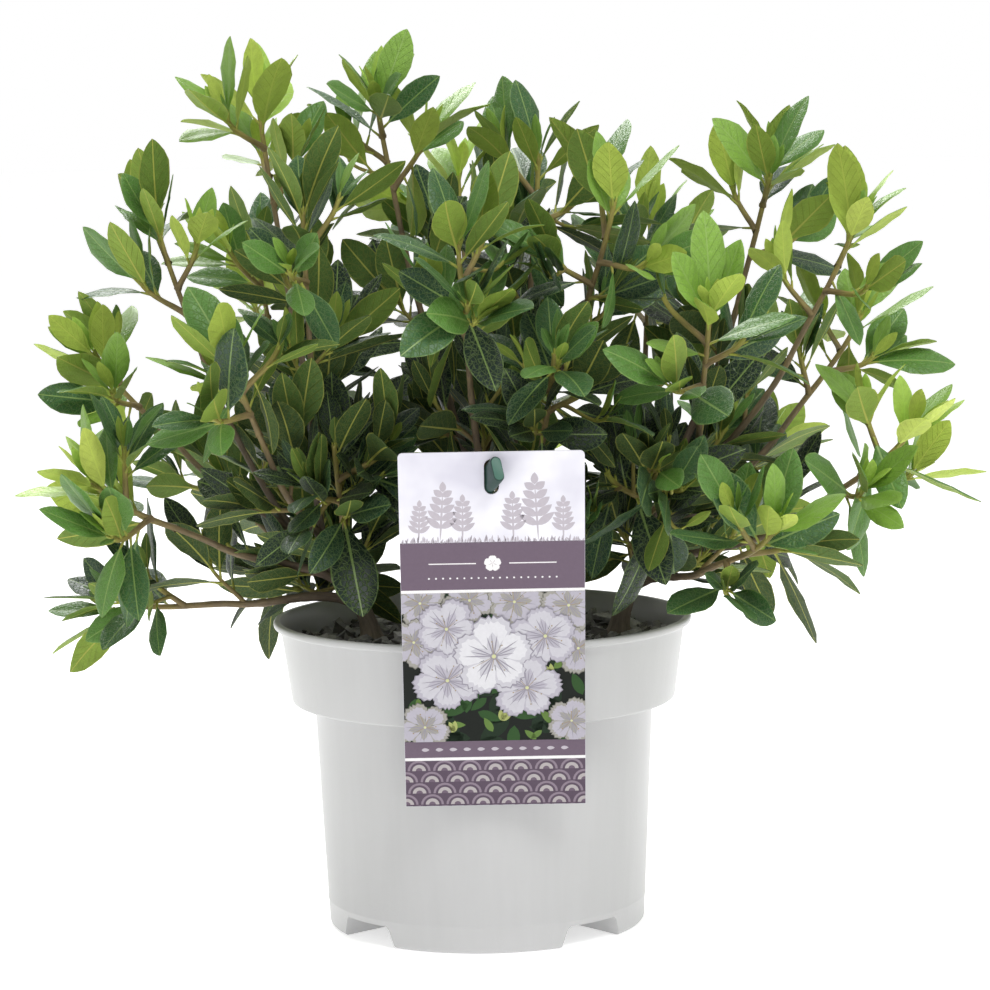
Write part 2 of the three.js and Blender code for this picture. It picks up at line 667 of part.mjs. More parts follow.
class Foliage {
  constructor(mass, limb, limbSamples, number) {
    Object.assign(this, { mass, limb });
    this.shootRandom = seeded(SEEDS.shoots + number);
    this.leafRandom = seeded(SEEDS.leaves + number);
    // Only limbs that come near the mass can touch it.
    const far = 2 * mass.reach + LEAF.length / 2;
    this.samples = limbSamples.filter((s) => s.point.distanceTo(vector(mass.centre)) < far);
    this.solids = [];
  }

  holds(point, margin) {
    if (nearPot(point, margin) || nearLabel(point, margin)) return false;
    return depthInSpace(point, this.mass) > margin;
  }

  // Whether a shoot's way, from a share of it on, is in the mass's space and off every other limb.
  holdsShoot(curve, from = 0) {
    const near = TWIG.rootRadius + CLEARANCE.twig;
    const points = curve.getPoints(TWIG.tested).slice(Math.round(from * TWIG.tested));
    return points.every((point) => {
      const clear = this.samples.every(
        (s) => s.limb === this.limb || s.point.distanceTo(point) > s.radius + near,
      );
      return clear && this.holds(point, near);
    });
  }

  holdsLeaf(frame, length, geometry, ownShoot) {
    const position = geometry.attributes.position;
    const corners = Array.from({ length: position.count }, (_, i) =>
      new THREE.Vector3().fromBufferAttribute(position, i),
    );
    const spine = LEAF.tested.map((share) => vector([0, share * length, 0]).applyMatrix4(frame));
    if (![...corners, ...spine].every((point) => this.holds(point, GAP))) return false;
    const inverse = frame.clone().invert();
    if (this.samples.some((sample) => limbTouchesLeaf(sample, inverse, length))) return false;
    const leaf = solid(geometry);
    return this.solids.every((other) => other === ownShoot || leaf.intersect(other).isEmpty());
  }

  // A leaf turns further round its shoot until it finds room, or is left out.
  addLeaf(path, shoot, share, firstTurn, { lean, size }) {
    const within = ([low, high]) => THREE.MathUtils.lerp(low, high, this.leafRandom());
    const frame = path.at(share);
    const facing = frame.along.clone().addScaledVector(UP, LEAF.facesUp);
    for (let i = 0; i < LEAF.tries; i++) {
      const way = leaning(frame, firstTurn + LEAF.tryTurn * i, radians(within(lean)));
      const length = LEAF.length * within(size);
      const placed = leafFrame(frame.point, way, facing);
      const geometry = leafGeometry(length).applyMatrix4(placed);
      if (!this.holdsLeaf(placed, length, geometry, shoot)) continue;
      this.solids.push(solid(geometry));
      return;
    }
  }

  dressShoot({ path, shoot, length }) {
    const firstTurn = this.leafRandom() * 2 * Math.PI;
    let fromTip = TWIG.bareTip;
    let count = 0;
    for (const kind of [WHORL, SPREAD]) {
      for (let i = 0; i < kind.leaves; i++) {
        this.addLeaf(path, shoot, 1 - fromTip / length, firstTurn + GOLDEN_ANGLE * count, kind);
        fromTip += kind.apart;
        count += 1;
      }
    }
  }

  // The stem runs on from the bough's tip and through the mass's centre. Its tip, like a shoot's, is
  // drawn back until the mass's space holds it.
  growStem() {
    const centre = vector(this.mass.centre);
    const along = this.limb.curve.getTangent(1);
    const start = this.limb.curve.getPoint(1).addScaledVector(along, GAP);
    const tipWay = along.clone().addScaledVector(UP, TWIG.tipsUp / 2).normalize();
    const curves = [...TWIG.drawnBack, 0].map((share) => {
      const tip = centre.clone().addScaledVector(along, share * TWIG.stemBeyond * this.mass.reach);
      return bend(start, along, tip, tipWay, new THREE.Vector3());
    });
    const curve = curves.find((tried) => this.holdsShoot(tried, 2 / 3)) ?? curves.at(-1);
    const path = new Path(curve, 0, 1, TWIG.stemSteps);
    return this.keepShoot(path, path.solid(this.limb.endRadius, TWIG.tipRadius, 4), curve);
  }

  growShoot({ point }, way, length) {
    const tipWay = way.clone().addScaledVector(UP, TWIG.tipsUp).normalize();
    for (const share of TWIG.drawnBack) {
      const tip = point.clone().addScaledVector(way, share * length);
      const curve = bend(point, way, tip, tipWay, new THREE.Vector3());
      if (!this.holdsShoot(curve)) continue;
      const path = new Path(curve, 0, 1, TWIG.steps);
      return this.keepShoot(path, path.solid(TWIG.rootRadius, TWIG.tipRadius, 3), curve);
    }
    return null;
  }

  keepShoot(path, shoot, curve) {
    this.solids.push(shoot);
    return { path, shoot, length: curve.getLength() };
  }

  // One stem carries the mass, and its side shoots lean out all round it.
  solid() {
    const { reach, shoots = TWIG.shoots } = this.mass;
    const stem = this.growStem();
    const within = ([low, high]) => THREE.MathUtils.lerp(low, high, this.shootRandom());
    const firstTurn = within([0, 2 * Math.PI]);
    const sideShoots = Array.from({ length: shoots - 1 }, (_, i) => {
      const share = THREE.MathUtils.lerp(TWIG.highestRoot, TWIG.lowestRoot, i / (shoots - 1));
      const frame = stem.path.at(share);
      const way = leaning(frame, firstTurn + GOLDEN_ANGLE * i, radians(within(TWIG.lean)));
      return this.growShoot(frame, way, reach * within(TWIG.length));
    });
    for (const shoot of [stem, ...sideShoots].filter(Boolean)) this.dressShoot(shoot);
    return wholeBody(union(this.solids));
  }
}

// ---------------------------------------------------------------- the plant in its pot

const plant = new THREE.Group();
plant.add(mesh("pot", potSolid(), COLOURS.pot, 0.45));
plant.add(mesh("soil", soilSolid(), COLOURS.soil, 0.95));
plant.add(mesh("label", labelSolid(), COLOURS.label, 0.4));
plant.add(mesh("label_stake", stakeSolid(), COLOURS.stake, 0.4));

const limbs = growLimbs();
for (const limb of limbs.values()) plant.add(mesh(limb.name, limb.solid(), COLOURS.bark, 0.8));

const limbSamples = [...limbs.values()].flatMap((limb) => limb.samples);
MASSES.forEach((mass, i) => {
  const foliage = new Foliage(mass, limbs.get(mass.name), limbSamples, i);
  plant.add(mesh(`foliage_${mass.name}`, foliage.solid(), COLOURS.leaf, 0.6));
});

export default plant;
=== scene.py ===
"""An evergreen azalea in its nursery pot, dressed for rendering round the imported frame.

Sizes are in millimetres, +Z up, with the front towards -Y and the origin at the centre of the pot's
underside, and become metres only where a mesh is made. The shrub grows by the same seeded rule as the
part's solids, so its stems and shoots lie where theirs do, and goes on to finer twigs and leaves.
"""
import json
import math
from collections import namedtuple

import bpy
import numpy as np
from mathutils import Matrix, Vector

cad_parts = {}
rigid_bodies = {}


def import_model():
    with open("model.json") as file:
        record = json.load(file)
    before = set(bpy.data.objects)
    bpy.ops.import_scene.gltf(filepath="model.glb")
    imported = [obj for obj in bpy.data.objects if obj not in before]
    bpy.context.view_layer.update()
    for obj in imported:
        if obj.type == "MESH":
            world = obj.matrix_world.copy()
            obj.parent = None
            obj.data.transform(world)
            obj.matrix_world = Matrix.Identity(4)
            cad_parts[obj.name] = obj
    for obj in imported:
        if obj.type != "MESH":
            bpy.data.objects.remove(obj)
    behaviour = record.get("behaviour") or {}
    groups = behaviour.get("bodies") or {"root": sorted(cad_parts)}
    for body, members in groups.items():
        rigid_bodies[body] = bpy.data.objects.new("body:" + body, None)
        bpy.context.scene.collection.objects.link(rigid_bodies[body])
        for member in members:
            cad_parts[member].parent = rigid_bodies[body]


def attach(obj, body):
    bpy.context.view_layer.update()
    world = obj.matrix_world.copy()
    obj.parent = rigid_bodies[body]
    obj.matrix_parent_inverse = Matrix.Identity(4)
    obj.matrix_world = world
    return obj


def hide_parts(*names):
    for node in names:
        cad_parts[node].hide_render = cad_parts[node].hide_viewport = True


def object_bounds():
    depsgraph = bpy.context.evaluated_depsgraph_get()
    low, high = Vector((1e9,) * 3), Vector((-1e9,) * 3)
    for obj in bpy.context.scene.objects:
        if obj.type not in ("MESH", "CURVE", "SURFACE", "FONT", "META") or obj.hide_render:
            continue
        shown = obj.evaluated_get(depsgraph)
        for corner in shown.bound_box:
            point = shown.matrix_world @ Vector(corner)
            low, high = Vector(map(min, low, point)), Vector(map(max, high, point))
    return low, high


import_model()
CAD_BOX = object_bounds()

MM = 0.001
UP = np.array([0.0, 0.0, 1.0])
ASIDE = np.array([0.31, 0.95, 0.05]) / np.linalg.norm([0.31, 0.95, 0.05])
GOLDEN_ANGLE = math.pi * (3 - math.sqrt(5))

# ---- sizes shared with the part's source

GAP = 0.3
POT = dict(height=140, rim=95, collar_height=37, collar_foot=87.2, wall=1.8)
DRAIN = dict(count=4, first_angle=-49, inner=24, height=9.5, top=27, foot=35, hole=4, hole_at=52)
SOIL_TOP = POT["height"] - 12.5
COLLAR_FOOT = POT["height"] - POT["collar_height"]
LABEL = dict(width=78, length=164, thickness=0.8, corner=2, hole_width=6.2, hole_length=15.8, hole_drop=11)
LABEL_FOOT = (4.5, -79.5, 68.4)
LABEL_LEAN, LABEL_TURN = 15.4, 0.4
STAKE = dict(width=4.6, length=11, nose=10.5, arm=16, rise=38, aside=18, foot=(4, -52), post=4.6)

TRUNK = dict(rise=26, foot=4.7, top=3.2)
BOUGH = dict(
    fork_share=0.66, taper=0.62, thinnest=1.5, tip_thinnest=1.3, root_up=0.35, tip_up=0.7, stops_short=0.85,
    bows=(0, 10, -10, 20, -20, 32, -32, 46, -46), lifts=(0, 10, -10, 22),
)
TWIG = dict(
    root=1.45, tip=1.15, stem_steps=3, tested=12, stem_beyond=0.6, highest=0.7, lowest=0.12,
    lean=(34, 64), length=(0.5, 0.68), tips_up=0.9, drawn_back=(1, 0.8, 0.6),
)
CLEARANCE = dict(limb=3, twig=2, root=34, sampled=2.5)
SHOOT_SEED = 1000

TRUNKS = {
    "left": ((-51, 6), (-58, 4)),
    "middle": ((12, 22), (8, 24)),
    "right": ((63, 16), (69, 14)),
}
# Each mass: its name, what its bough forks from and where, its centre, reach, shoots and lift.
MASSES = [
    ("top_left", "left", 1.0, (-94, 22, 345), 46, 4, 0.5),
    ("left_low", "left", 0.55, (-144, -6, 150), 38, 3, 0),
    ("front_left_low", "left", 0.75, (-148, -44, 196), 46, 4, 0.1),
    ("left_middle", "left", 0.9, (-156, 4, 242), 44, 4, 0.25),
    ("left_upper", "left_middle", 0.42, (-136, 6, 295), 44, 4, 0.5),
    ("front_left", "left", 0.95, (-99, -74, 244), 44, 4, 0.5),
    ("front_left_upper", "front_left", 0.4, (-74, -56, 300), 44, 4, 0.7),
    ("back_left_low", "left", 0.65, (-115, 86, 186), 50, 4, 0.2),
    ("back_left", "back_left_low", 0.35, (-100, 84, 278), 50, 4, 0.5),
    ("top_middle_left", "middle", 1.0, (-40, 24, 350), 44, 4, 0.6),
    ("front_middle_left", "left", 0.8, (-62, -42, 202), 42, 4, 0.6),
    ("front_middle", "middle", 0.75, (30, -64, 242), 42, 4, 0.6),
    ("front_middle_upper", "middle", 0.9, (-6, -82, 288), 44, 4, 0.7),
    ("top_middle", "middle", 0.95, (27, 10, 321), 44, 4, 0.6),
    ("front_right_upper", "top_middle", 0.4, (54, -54, 306), 42, 4, 0.6),
    ("back_middle_low", "middle", 0.6, (8, 132, 204), 52, 4, 0.1),
    ("back_middle", "middle", 0.85, (-6, 102, 308), 52, 4, 0.5),
    ("right_upper", "right", 1.0, (157, -12, 290), 44, 4, 0.4),
    ("top_right", "right", 0.95, (129, 26, 316), 44, 4, 0.6),
    ("front_right", "right_upper", 0.38, (98, -72, 262), 44, 4, 0.5),
    ("right_middle", "right", 0.85, (162, 34, 250), 44, 4, 0.3),
    ("right_low", "right", 0.75, (172, -22, 207), 46, 4, 0.3),
    ("front_right_low", "right", 0.6, (114, -74, 178), 42, 4, 0.1),
    ("front_right_middle", "right", 0.8, (73, -50, 200), 40, 4, 0.4),
    ("back_right", "right", 0.9, (82, 94, 284), 50, 4, 0.5),
    ("back_right_low", "right", 0.65, (124, 96, 188), 50, 4, 0.15),
]
CENTRES = np.array([mass[3] for mass in MASSES], float)
REACHES = np.array([mass[4] for mass in MASSES], float)

# ---- small helpers


def unit(vector):
    return vector / np.linalg.norm(vector)


def lerp(low, high, share):
    return low + (high - low) * share


def seeded(seed):
    """The part's own source of numbers from 0 to 1 (mulberry32)."""
    state = seed & 0xFFFFFFFF

    def draw():
        nonlocal state
        state = (state + 0x6D2B79F5) & 0xFFFFFFFF
        t = state
        t = ((t ^ (t >> 15)) * (t | 1)) & 0xFFFFFFFF
        t ^= (t + ((t ^ (t >> 7)) * (t | 61))) & 0xFFFFFFFF
        return ((t ^ (t >> 14)) & 0xFFFFFFFF) / 4294967296

    return draw


def linear(*srgb):
    """A colour from its 0 to 255 screen values."""
    shares = [value / 255 for value in srgb]
    return [c / 12.92 if c <= 0.04045 else ((c + 0.055) / 1.055) ** 2.4 for c in shares]


def make_piece(name, points, faces, materials, slots=None, uvs=None, uv_name="OFBake", smooth=True):
    """A mesh piece from points in millimetres and faces of any size.

    Slots name each face's material, and UVs place each face's corners.
    """
    sizes = [len(face) for face in faces]
    mesh = bpy.data.meshes.new(name)
    mesh.vertices.add(len(points))
    mesh.vertices.foreach_set("co", (np.asarray(points) * MM).astype(np.float32).ravel())
    mesh.loops.add(sum(sizes))
    mesh.loops.foreach_set("vertex_index", np.concatenate(faces).astype(np.int32))
    mesh.polygons.add(len(faces))
    mesh.polygons.foreach_set("loop_start", np.cumsum([0, *sizes[:-1]]).astype(np.int32))
    mesh.update(calc_edges=True)
    for material in materials:
        mesh.materials.append(material)
    if slots is not None:
        mesh.polygons.foreach_set("material_index", np.asarray(slots, np.int32))
    mesh.polygons.foreach_set("use_smooth", np.full(len(faces), smooth))
    if uvs is not None:
        mesh.uv_layers.new(name=uv_name).data.foreach_set("uv", np.asarray(uvs, np.float32).ravel())
    piece = bpy.data.objects.new(name, mesh)
    bpy.context.scene.collection.objects.link(piece)
    return piece


def ring_faces(rings, ahead):
    """Quads between rings of point numbers and the rings ahead of them."""
    return np.stack([rings, np.roll(rings, -1, 1), np.roll(ahead, -1, 1), ahead], -1).reshape(-1, 4)


def dress(piece, slot, *nodes):
    """Says what a piece rides on and which nodes it stands for. Its slot, which would name its finish, is
    not used.
    """
    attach(piece, "root")
    if nodes:
        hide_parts(*nodes)


# ---- the growth rule


def cross_frame(point, along):
    across = unit(np.cross(along, ASIDE))
    return point, along, across, np.cross(across, along)


class Curve:
    """A cubic curve between two points, with its way at both, bowed aside if asked."""

    def __init__(self, start, start_way, end, end_way, bow=0.0):
        span = np.linalg.norm(end - start) / 3
        first = start + start_way * span + bow * 0.5
        self.points = np.array([start, first, end - end_way * span + bow, end])

    def at(self, t):
        t = np.asarray(t, float)[..., None]
        a, b, c, d = self.points
        return (1 - t) ** 3 * a + 3 * (1 - t) ** 2 * t * b + 3 * (1 - t) * t**2 * c + t**3 * d

    def tangent(self, t):
        return unit(self.at(min(t + 1e-4, 1)) - self.at(max(t - 1e-4, 0)))

    def length(self):
        steps = self.at(np.linspace(0, 1, 201))
        return np.linalg.norm(np.diff(steps, axis=0), axis=1).sum()


def frame_on_steps(curve, steps, share):
    """The frame at a share of the way along straight steps between points of a curve."""
    step = min(int(share * steps), steps - 1)
    a, b = curve.at(np.array([step, step + 1]) / steps)
    return cross_frame(lerp(a, b, share * steps - step), unit(b - a))


def near_pot(points, margin):
    """Which points lie within a margin of the pot or its soil."""
    across = np.hypot(points[:, 0], points[:, 1])
    outside = (across > POT["rim"] + margin) | (points[:, 2] > POT["height"] + margin)
    return ~outside & ((across > POT["collar_foot"] - 2 * margin) | (points[:, 2] < SOIL_TOP + margin))


def label_frame():
    """The label's own frame: x runs across it, y up its face and z out to the front."""
    turn = Matrix.Rotation(math.radians(LABEL_TURN), 4, "Z")
    lean = Matrix.Rotation(math.radians(90 + LABEL_LEAN), 4, "X")
    return np.array(Matrix.Translation(LABEL_FOOT) @ turn @ lean)


LABEL_FRAME = label_frame()
HOLE_HEIGHT = LABEL["length"] - LABEL["hole_drop"]


def placed(points, own_frame):
    """Points given in a frame of their own, set in the world."""
    return np.asarray(points) @ own_frame[:3, :3].T + own_frame[:3, 3]


def arm_frame():
    """The frame of the stake's slanting end: z runs out through the middle of the label's hole."""
    place = Matrix.Translation((0, HOLE_HEIGHT, LABEL["thickness"] / 2))
    aside = Matrix.Rotation(math.radians(STAKE["aside"]), 4, "Y")
    rise = Matrix.Rotation(math.radians(-STAKE["rise"]), 4, "X")
    return LABEL_FRAME @ np.array(place @ aside @ rise)


ARM_FRAME = arm_frame()
STAKE_FOOT = np.array([*STAKE["foot"], SOIL_TOP + GAP])
STAKE_BEND, STAKE_NOSE = placed([[0, 0, -STAKE["arm"]], [0, 0, STAKE["nose"]]], ARM_FRAME)


def from_segment(points, start, end):
    """How far points lie from a straight piece between two others."""
    way = end - start
    share = np.clip((points - start) @ way / (way @ way), 0, 1)
    return np.linalg.norm(points - start - share[:, None] * way, axis=1)


def near_label(points, margin):
    """Which points lie within a margin of the label or its stake, or in the space before the label."""
    own = (points - LABEL_FRAME[:3, 3]) @ LABEL_FRAME[:3, :3]
    clear = (np.abs(own[:, 0]) > LABEL["width"] / 2 + margin) | (own[:, 1] > LABEL["length"] + margin)
    near = ~clear & (own[:, 2] > -margin)
    for end in (STAKE_FOOT, STAKE_NOSE):
        near |= from_segment(points, end, STAKE_BEND) < STAKE["length"] / 2 + margin
    return near


class Limb:
    """A trunk or a bough, tapering along its curve, and the points on its way that others keep off."""

    def __init__(self, name, curve, start_radius, end_radius):
        self.name, self.curve, self.radii = name, curve, (start_radius, end_radius)
        self.length = curve.length()
        self.children = []
        t = np.linspace(0, 1, math.ceil(self.length / CLEARANCE["sampled"]) + 1)
        self.samples, self.sample_radii = curve.at(t), lerp(start_radius, end_radius, t)


def grow_trunk(name):
    foot, top = TRUNKS[name]
    start = np.array([*foot, SOIL_TOP + GAP])
    end = np.array([*top, SOIL_TOP + TRUNK["rise"]], float)
    return Limb(f"trunk_{name}", Curve(start, UP, end, unit(end - start)), TRUNK["foot"], TRUNK["top"])


def is_clear(curve, radius, limbs, family):
    """Whether a bough's way keeps off pot, label and limbs. It may start among its own family."""
    length = curve.length()
    t = np.linspace(0, 1, math.ceil(length / CLEARANCE["sampled"]) + 1)
    points = curve.at(t)
    margin = radius + CLEARANCE["limb"]
    if near_pot(points, margin).any() or near_label(points, margin).any():
        return False
    beyond = points[t * length >= CLEARANCE["root"]]
    for limb in limbs:
        tested = beyond if limb in family else points
        apart = np.linalg.norm(tested[:, None] - limb.samples[None], axis=2)
        if (apart < limb.sample_radii + margin).any():
            return False
    return True


def grow_bough(mass, limbs):
    name, source, at, centre, reach, _, lift = mass
    parent, centre = limbs[source], np.array(centre, float)
    start = parent.curve.at(at)
    chord = unit(centre - start)
    start_way = unit(chord + parent.curve.tangent(at) + UP * BOUGH["root_up"])
    end_way = unit(chord + UP * lift * BOUGH["tip_up"])
    end = centre - end_way * BOUGH["stops_short"] * reach
    start_radius = max(BOUGH["thinnest"], lerp(*parent.radii, at) * BOUGH["fork_share"])
    end_radius = max(BOUGH["tip_thinnest"], start_radius * BOUGH["taper"])
    side = unit(np.cross(chord, UP))
    family = [parent, *parent.children]
    for size in BOUGH["bows"]:
        for rise in BOUGH["lifts"]:
            curve = Curve(start, start_way, end, end_way, side * size + UP * rise)
            if is_clear(curve, start_radius, limbs.values(), family):
                limb = Limb(f"bough_{name}", curve, start_radius, end_radius)
                parent.children.append(limb)
                return limb
    raise ValueError(f"bough {name} finds no clear way")


def depth_in_space(points, index):
    """How deep points lie in a mass's own space, and less than 0 outside it."""
    weighed = ((points[:, None] - CENTRES) ** 2).sum(2) - REACHES**2
    spans = 2 * np.linalg.norm(CENTRES - CENTRES[index], axis=1)
    spans[index] = 1
    depths = (weighed - weighed[:, [index]]) / spans
    depths[:, index] = np.inf
    return depths.min(1)


def leaning(frame_at, turn, lean):
    """A way that leans out from a limb's own by an angle, turned so far round it."""
    _, along, across, over = frame_at
    side = across * math.cos(turn) + over * math.sin(turn)
    return unit(side * math.sin(lean) + along * math.cos(lean))


limbs = {name: grow_trunk(name) for name in TRUNKS}
for mass in MASSES:
    limbs[mass[0]] = grow_bough(mass, limbs)
LIMB_POINTS = np.concatenate([limb.samples for limb in limbs.values()])
LIMB_RADII = np.concatenate([limb.sample_radii for limb in limbs.values()])
LIMB_OF = np.concatenate([[i] * len(limb.samples) for i, limb in enumerate(limbs.values())])
crown = []


class Shoot:
    """A twig of the crown: its curve, its radii, what kind it is, and the number of its mass."""

    def __init__(self, curve, radii, kind, mass):
        self.curve, self.radii, self.kind, self.mass = curve, radii, kind, mass
        self.length = curve.length()

    def frame(self, share):
        return cross_frame(self.curve.at(share), self.curve.tangent(share))


def holds_shoot(curve, index, first=0.0, outside=0.0):
    """Whether a shoot's way is in its mass's space and off every limb but its own bough."""
    near = TWIG["root"] + CLEARANCE["twig"]
    points = curve.at(np.linspace(0, 1, TWIG["tested"] + 1))[round(first * TWIG["tested"]) :]
    others = LIMB_OF != len(TRUNKS) + index
    apart = np.linalg.norm(points[:, None] - LIMB_POINTS[others][None], axis=2)
    if (apart <= LIMB_RADII[others] + near).any():
        return False
    if near_pot(points, near).any() or near_label(points, near).any():
        return False
    return (depth_in_space(points, index) > near - outside).all()


def grow_shoot(point, way, length, index, radii, kind, outside=0.0):
    """Adds a shoot to the crown, drawn back until its way is clear, or leaves it out."""
    tip_way = unit(way + UP * TWIG["tips_up"])
    for share in TWIG["drawn_back"]:
        curve = Curve(point, way, point + way * share * length, tip_way)
        if holds_shoot(curve, index, 0, outside):
            crown.append(Shoot(curve, radii, kind, index))
            return


def grow_mass(index):
    """The stem and side shoots of a mass, as in the part."""
    name, _, _, centre, reach, shoots, _ = MASSES[index]
    limb, draw = limbs[name], seeded(SHOOT_SEED + index)
    along = limb.curve.tangent(1)
    start = limb.curve.at(1) + along * GAP
    tip_way = unit(along + UP * TWIG["tips_up"] / 2)
    tips = [centre + along * share * TWIG["stem_beyond"] * reach for share in (*TWIG["drawn_back"], 0)]
    curves = [Curve(start, along, tip, tip_way) for tip in tips]
    curve = next((tried for tried in curves if holds_shoot(tried, index, 2 / 3)), curves[-1])
    crown.append(Shoot(curve, (limb.radii[1], TWIG["tip"]), "stem", index))
    first_turn = 2 * math.pi * draw()
    for i in range(shoots - 1):
        share = lerp(TWIG["highest"], TWIG["lowest"], i / (shoots - 1))
        at = frame_on_steps(curve, TWIG["stem_steps"], share)
        way = leaning(at, first_turn + GOLDEN_ANGLE * i, math.radians(lerp(*TWIG["lean"], draw())))
        length = reach * lerp(*TWIG["length"], draw())
        grow_shoot(at[0], way, length, index, (TWIG["root"], TWIG["tip"]), "shoot")


for index in range(len(MASSES)):
    grow_mass(index)

# ---- finer twigs and leaves

# Side twigs on the stems and shoots, and leafy spurs on the boughs. They stand at shares of the way along
# what bears them, may stand outside their mass's own space by so much, and grow only where their way's y
# is more than forward. Spurs keep behind the boughs, so that these show from the front.
FINE = dict(seed=7000, on_shoot=(0.3, 0.62), on_stem=(0.2, 0.4, 0.62, 0.84), lean=(30, 60),
            length=(13, 26), radii=(1.0, 0.75), outside=5.5, rises=0, forward=-2)
SPUR = dict(seed=7500, on_bough=(0.2, 0.3, 0.4, 0.5, 0.6, 0.7, 0.8, 0.92), lean=(36, 66), length=(16, 30),
            radii=(1.1, 0.8), outside=70, rises=0.35, forward=-0.3)
CROWN = dict(middle=(0, 10, 200), spread=(200, 170, 200))  # the dense part, and how far the crown reaches
# The chance that a fine twig or spur grows, and that a leaf low on its shoot does, from the middle out.
THINNING = dict(twig=(1.7, -0.5), leaf=(1.45, 0.25))
LEAF = dict(
    seed=9000, length=45, petiole=0.09, upper=6, lower=4, thickness=0.45, bend=(-0.15, 0.5),
    fold=(0.04, 0.36), twist=(-0.3, 0.3), outside=9, rises=0.5, tries=6, turns_on=0.55, hang_chance=0.14,
    hangs=-1.6, first=0.4, lowest=0.1,
)
# How far a leaf keeps off the label and the wood, and how much of its foot may touch the wood.
LEAF_ROOM = dict(label=0.8, wood=0.4, foot=5, searched=6)
# A shoot's leaves from its tip down: young ones, a whorl, and older ones that spread.
KINDS = (
    dict(leaves=3, apart=0.5, lean=(4, 26), size=(0.3, 0.52), width=(0.25, 0.36), darkening=-0.8),
    dict(leaves=5, apart=2.2, lean=(16, 52), size=(0.6, 0.96), width=(0.34, 0.47), darkening=0),
    dict(leaves=3, apart=6.5, lean=(44, 80), size=(0.66, 1.1), width=(0.34, 0.45), darkening=1.2),
)
# A spray's tint, from 0 for fresh to 5 for old, is partly its age and partly painted light and shade: how
# dark it is in the crown's shade, and how much fresher and lighter it is at the crown's edge, its top, its
# sides and its front, where light falls and shines through. Sprays and leaves vary about that.
TINT = dict(
    shade=6.6, edge=3.4, top=2.6, sides=1.2, front=0.6, spray=2.8, leaf=1.2, top_from=140, top_over=250,
    sides_from=90, sides_over=100, front_over=80, oldest=5,
)


def outward(point):
    """How far out in the crown a point lies, from 0 in its middle to 1 at its edge."""
    return np.linalg.norm((point - CROWN["middle"]) / CROWN["spread"])


def is_grown(point, chances, draw):
    """Growth crowds the middle of the crown, and is thinner at its sides and top."""
    return draw() < lerp(*chances, outward(point))


def grow_finer(curve, shares, rule, kind, index, draw):
    """The fine twigs or spurs along one stem, shoot or bough."""
    turn = draw() * 2 * math.pi
    for i, share in enumerate(shares):
        at = cross_frame(curve.at(share), curve.tangent(share))
        way = leaning(at, turn + GOLDEN_ANGLE * i, math.radians(lerp(*rule["lean"], draw())))
        way = unit(way + UP * rule["rises"])
        length = lerp(*rule["length"], draw())
        if way[1] > rule["forward"] and is_grown(at[0], THINNING["twig"], draw):
            grow_shoot(at[0], way, length, index, rule["radii"], kind, rule["outside"])


draw = seeded(FINE["seed"])
for shoot in list(crown):
    grow_finer(shoot.curve, FINE["on_" + shoot.kind], FINE, "fine", shoot.mass, draw)
draw = seeded(SPUR["seed"])
for index, mass in enumerate(MASSES):
    grow_finer(limbs[mass[0]].curve, SPUR["on_bough"], SPUR, "spur", index, draw)

# How wide a leaf is at shares of its blade, from its petiole to its blunt tip.
OUTLINE_AT = np.array([0, 0.05, 0.13, 0.25, 0.4, 0.55, 0.7, 0.83, 0.92, 0.97, 1.0])
OUTLINE = np.array([0.05, 0.12, 0.34, 0.67, 0.93, 1.0, 0.91, 0.68, 0.4, 0.2, 0.02])


def half_width(along, length, width):
    """Half the width of a leaf at distances from its root."""
    blade = (along / length - LEAF["petiole"]) / (1 - LEAF["petiole"])
    return np.interp(blade, OUTLINE_AT, OUTLINE, left=0, right=0) * length * width / 2


def lines_of(leaf):
    """The middle line and both margins of a leaf, at five places from root to tip."""
    along = np.linspace(0.12, 1, 5) * leaf.length
    aside = half_width(along, leaf.length, leaf.width) * 0.9
    drop = -leaf.bend * along**2 / leaf.length / 2
    lines = [np.stack([side * aside, along, drop], 1) for side in (-1, 0, 1)]
    return np.concatenate(lines) @ leaf.axes + leaf.root


def cut(lines, length, width):
    """Whether any of some leaves' lines, three of five points each, cut a leaf flat in its own frame."""
    lines = lines.reshape(-1, 3, 5, 3)
    a, b = lines[:, :, :-1], lines[:, :, 1:]
    over = a[..., 2] * b[..., 2] < 0
    if not over.any():
        return False
    rise = np.where(over, a[..., 2] - b[..., 2], 1)
    spots = a + (b - a) * (a[..., 2] / rise)[..., None]
    return (over & (np.abs(spots[..., 0]) < half_width(spots[..., 1], length, width))).any()


# A leaf's root and its axes across, along and out of its blade, its shape, its tint and its mass's number.
Leaf = namedtuple("Leaf", "root axes length width bend fold twist tint mass")


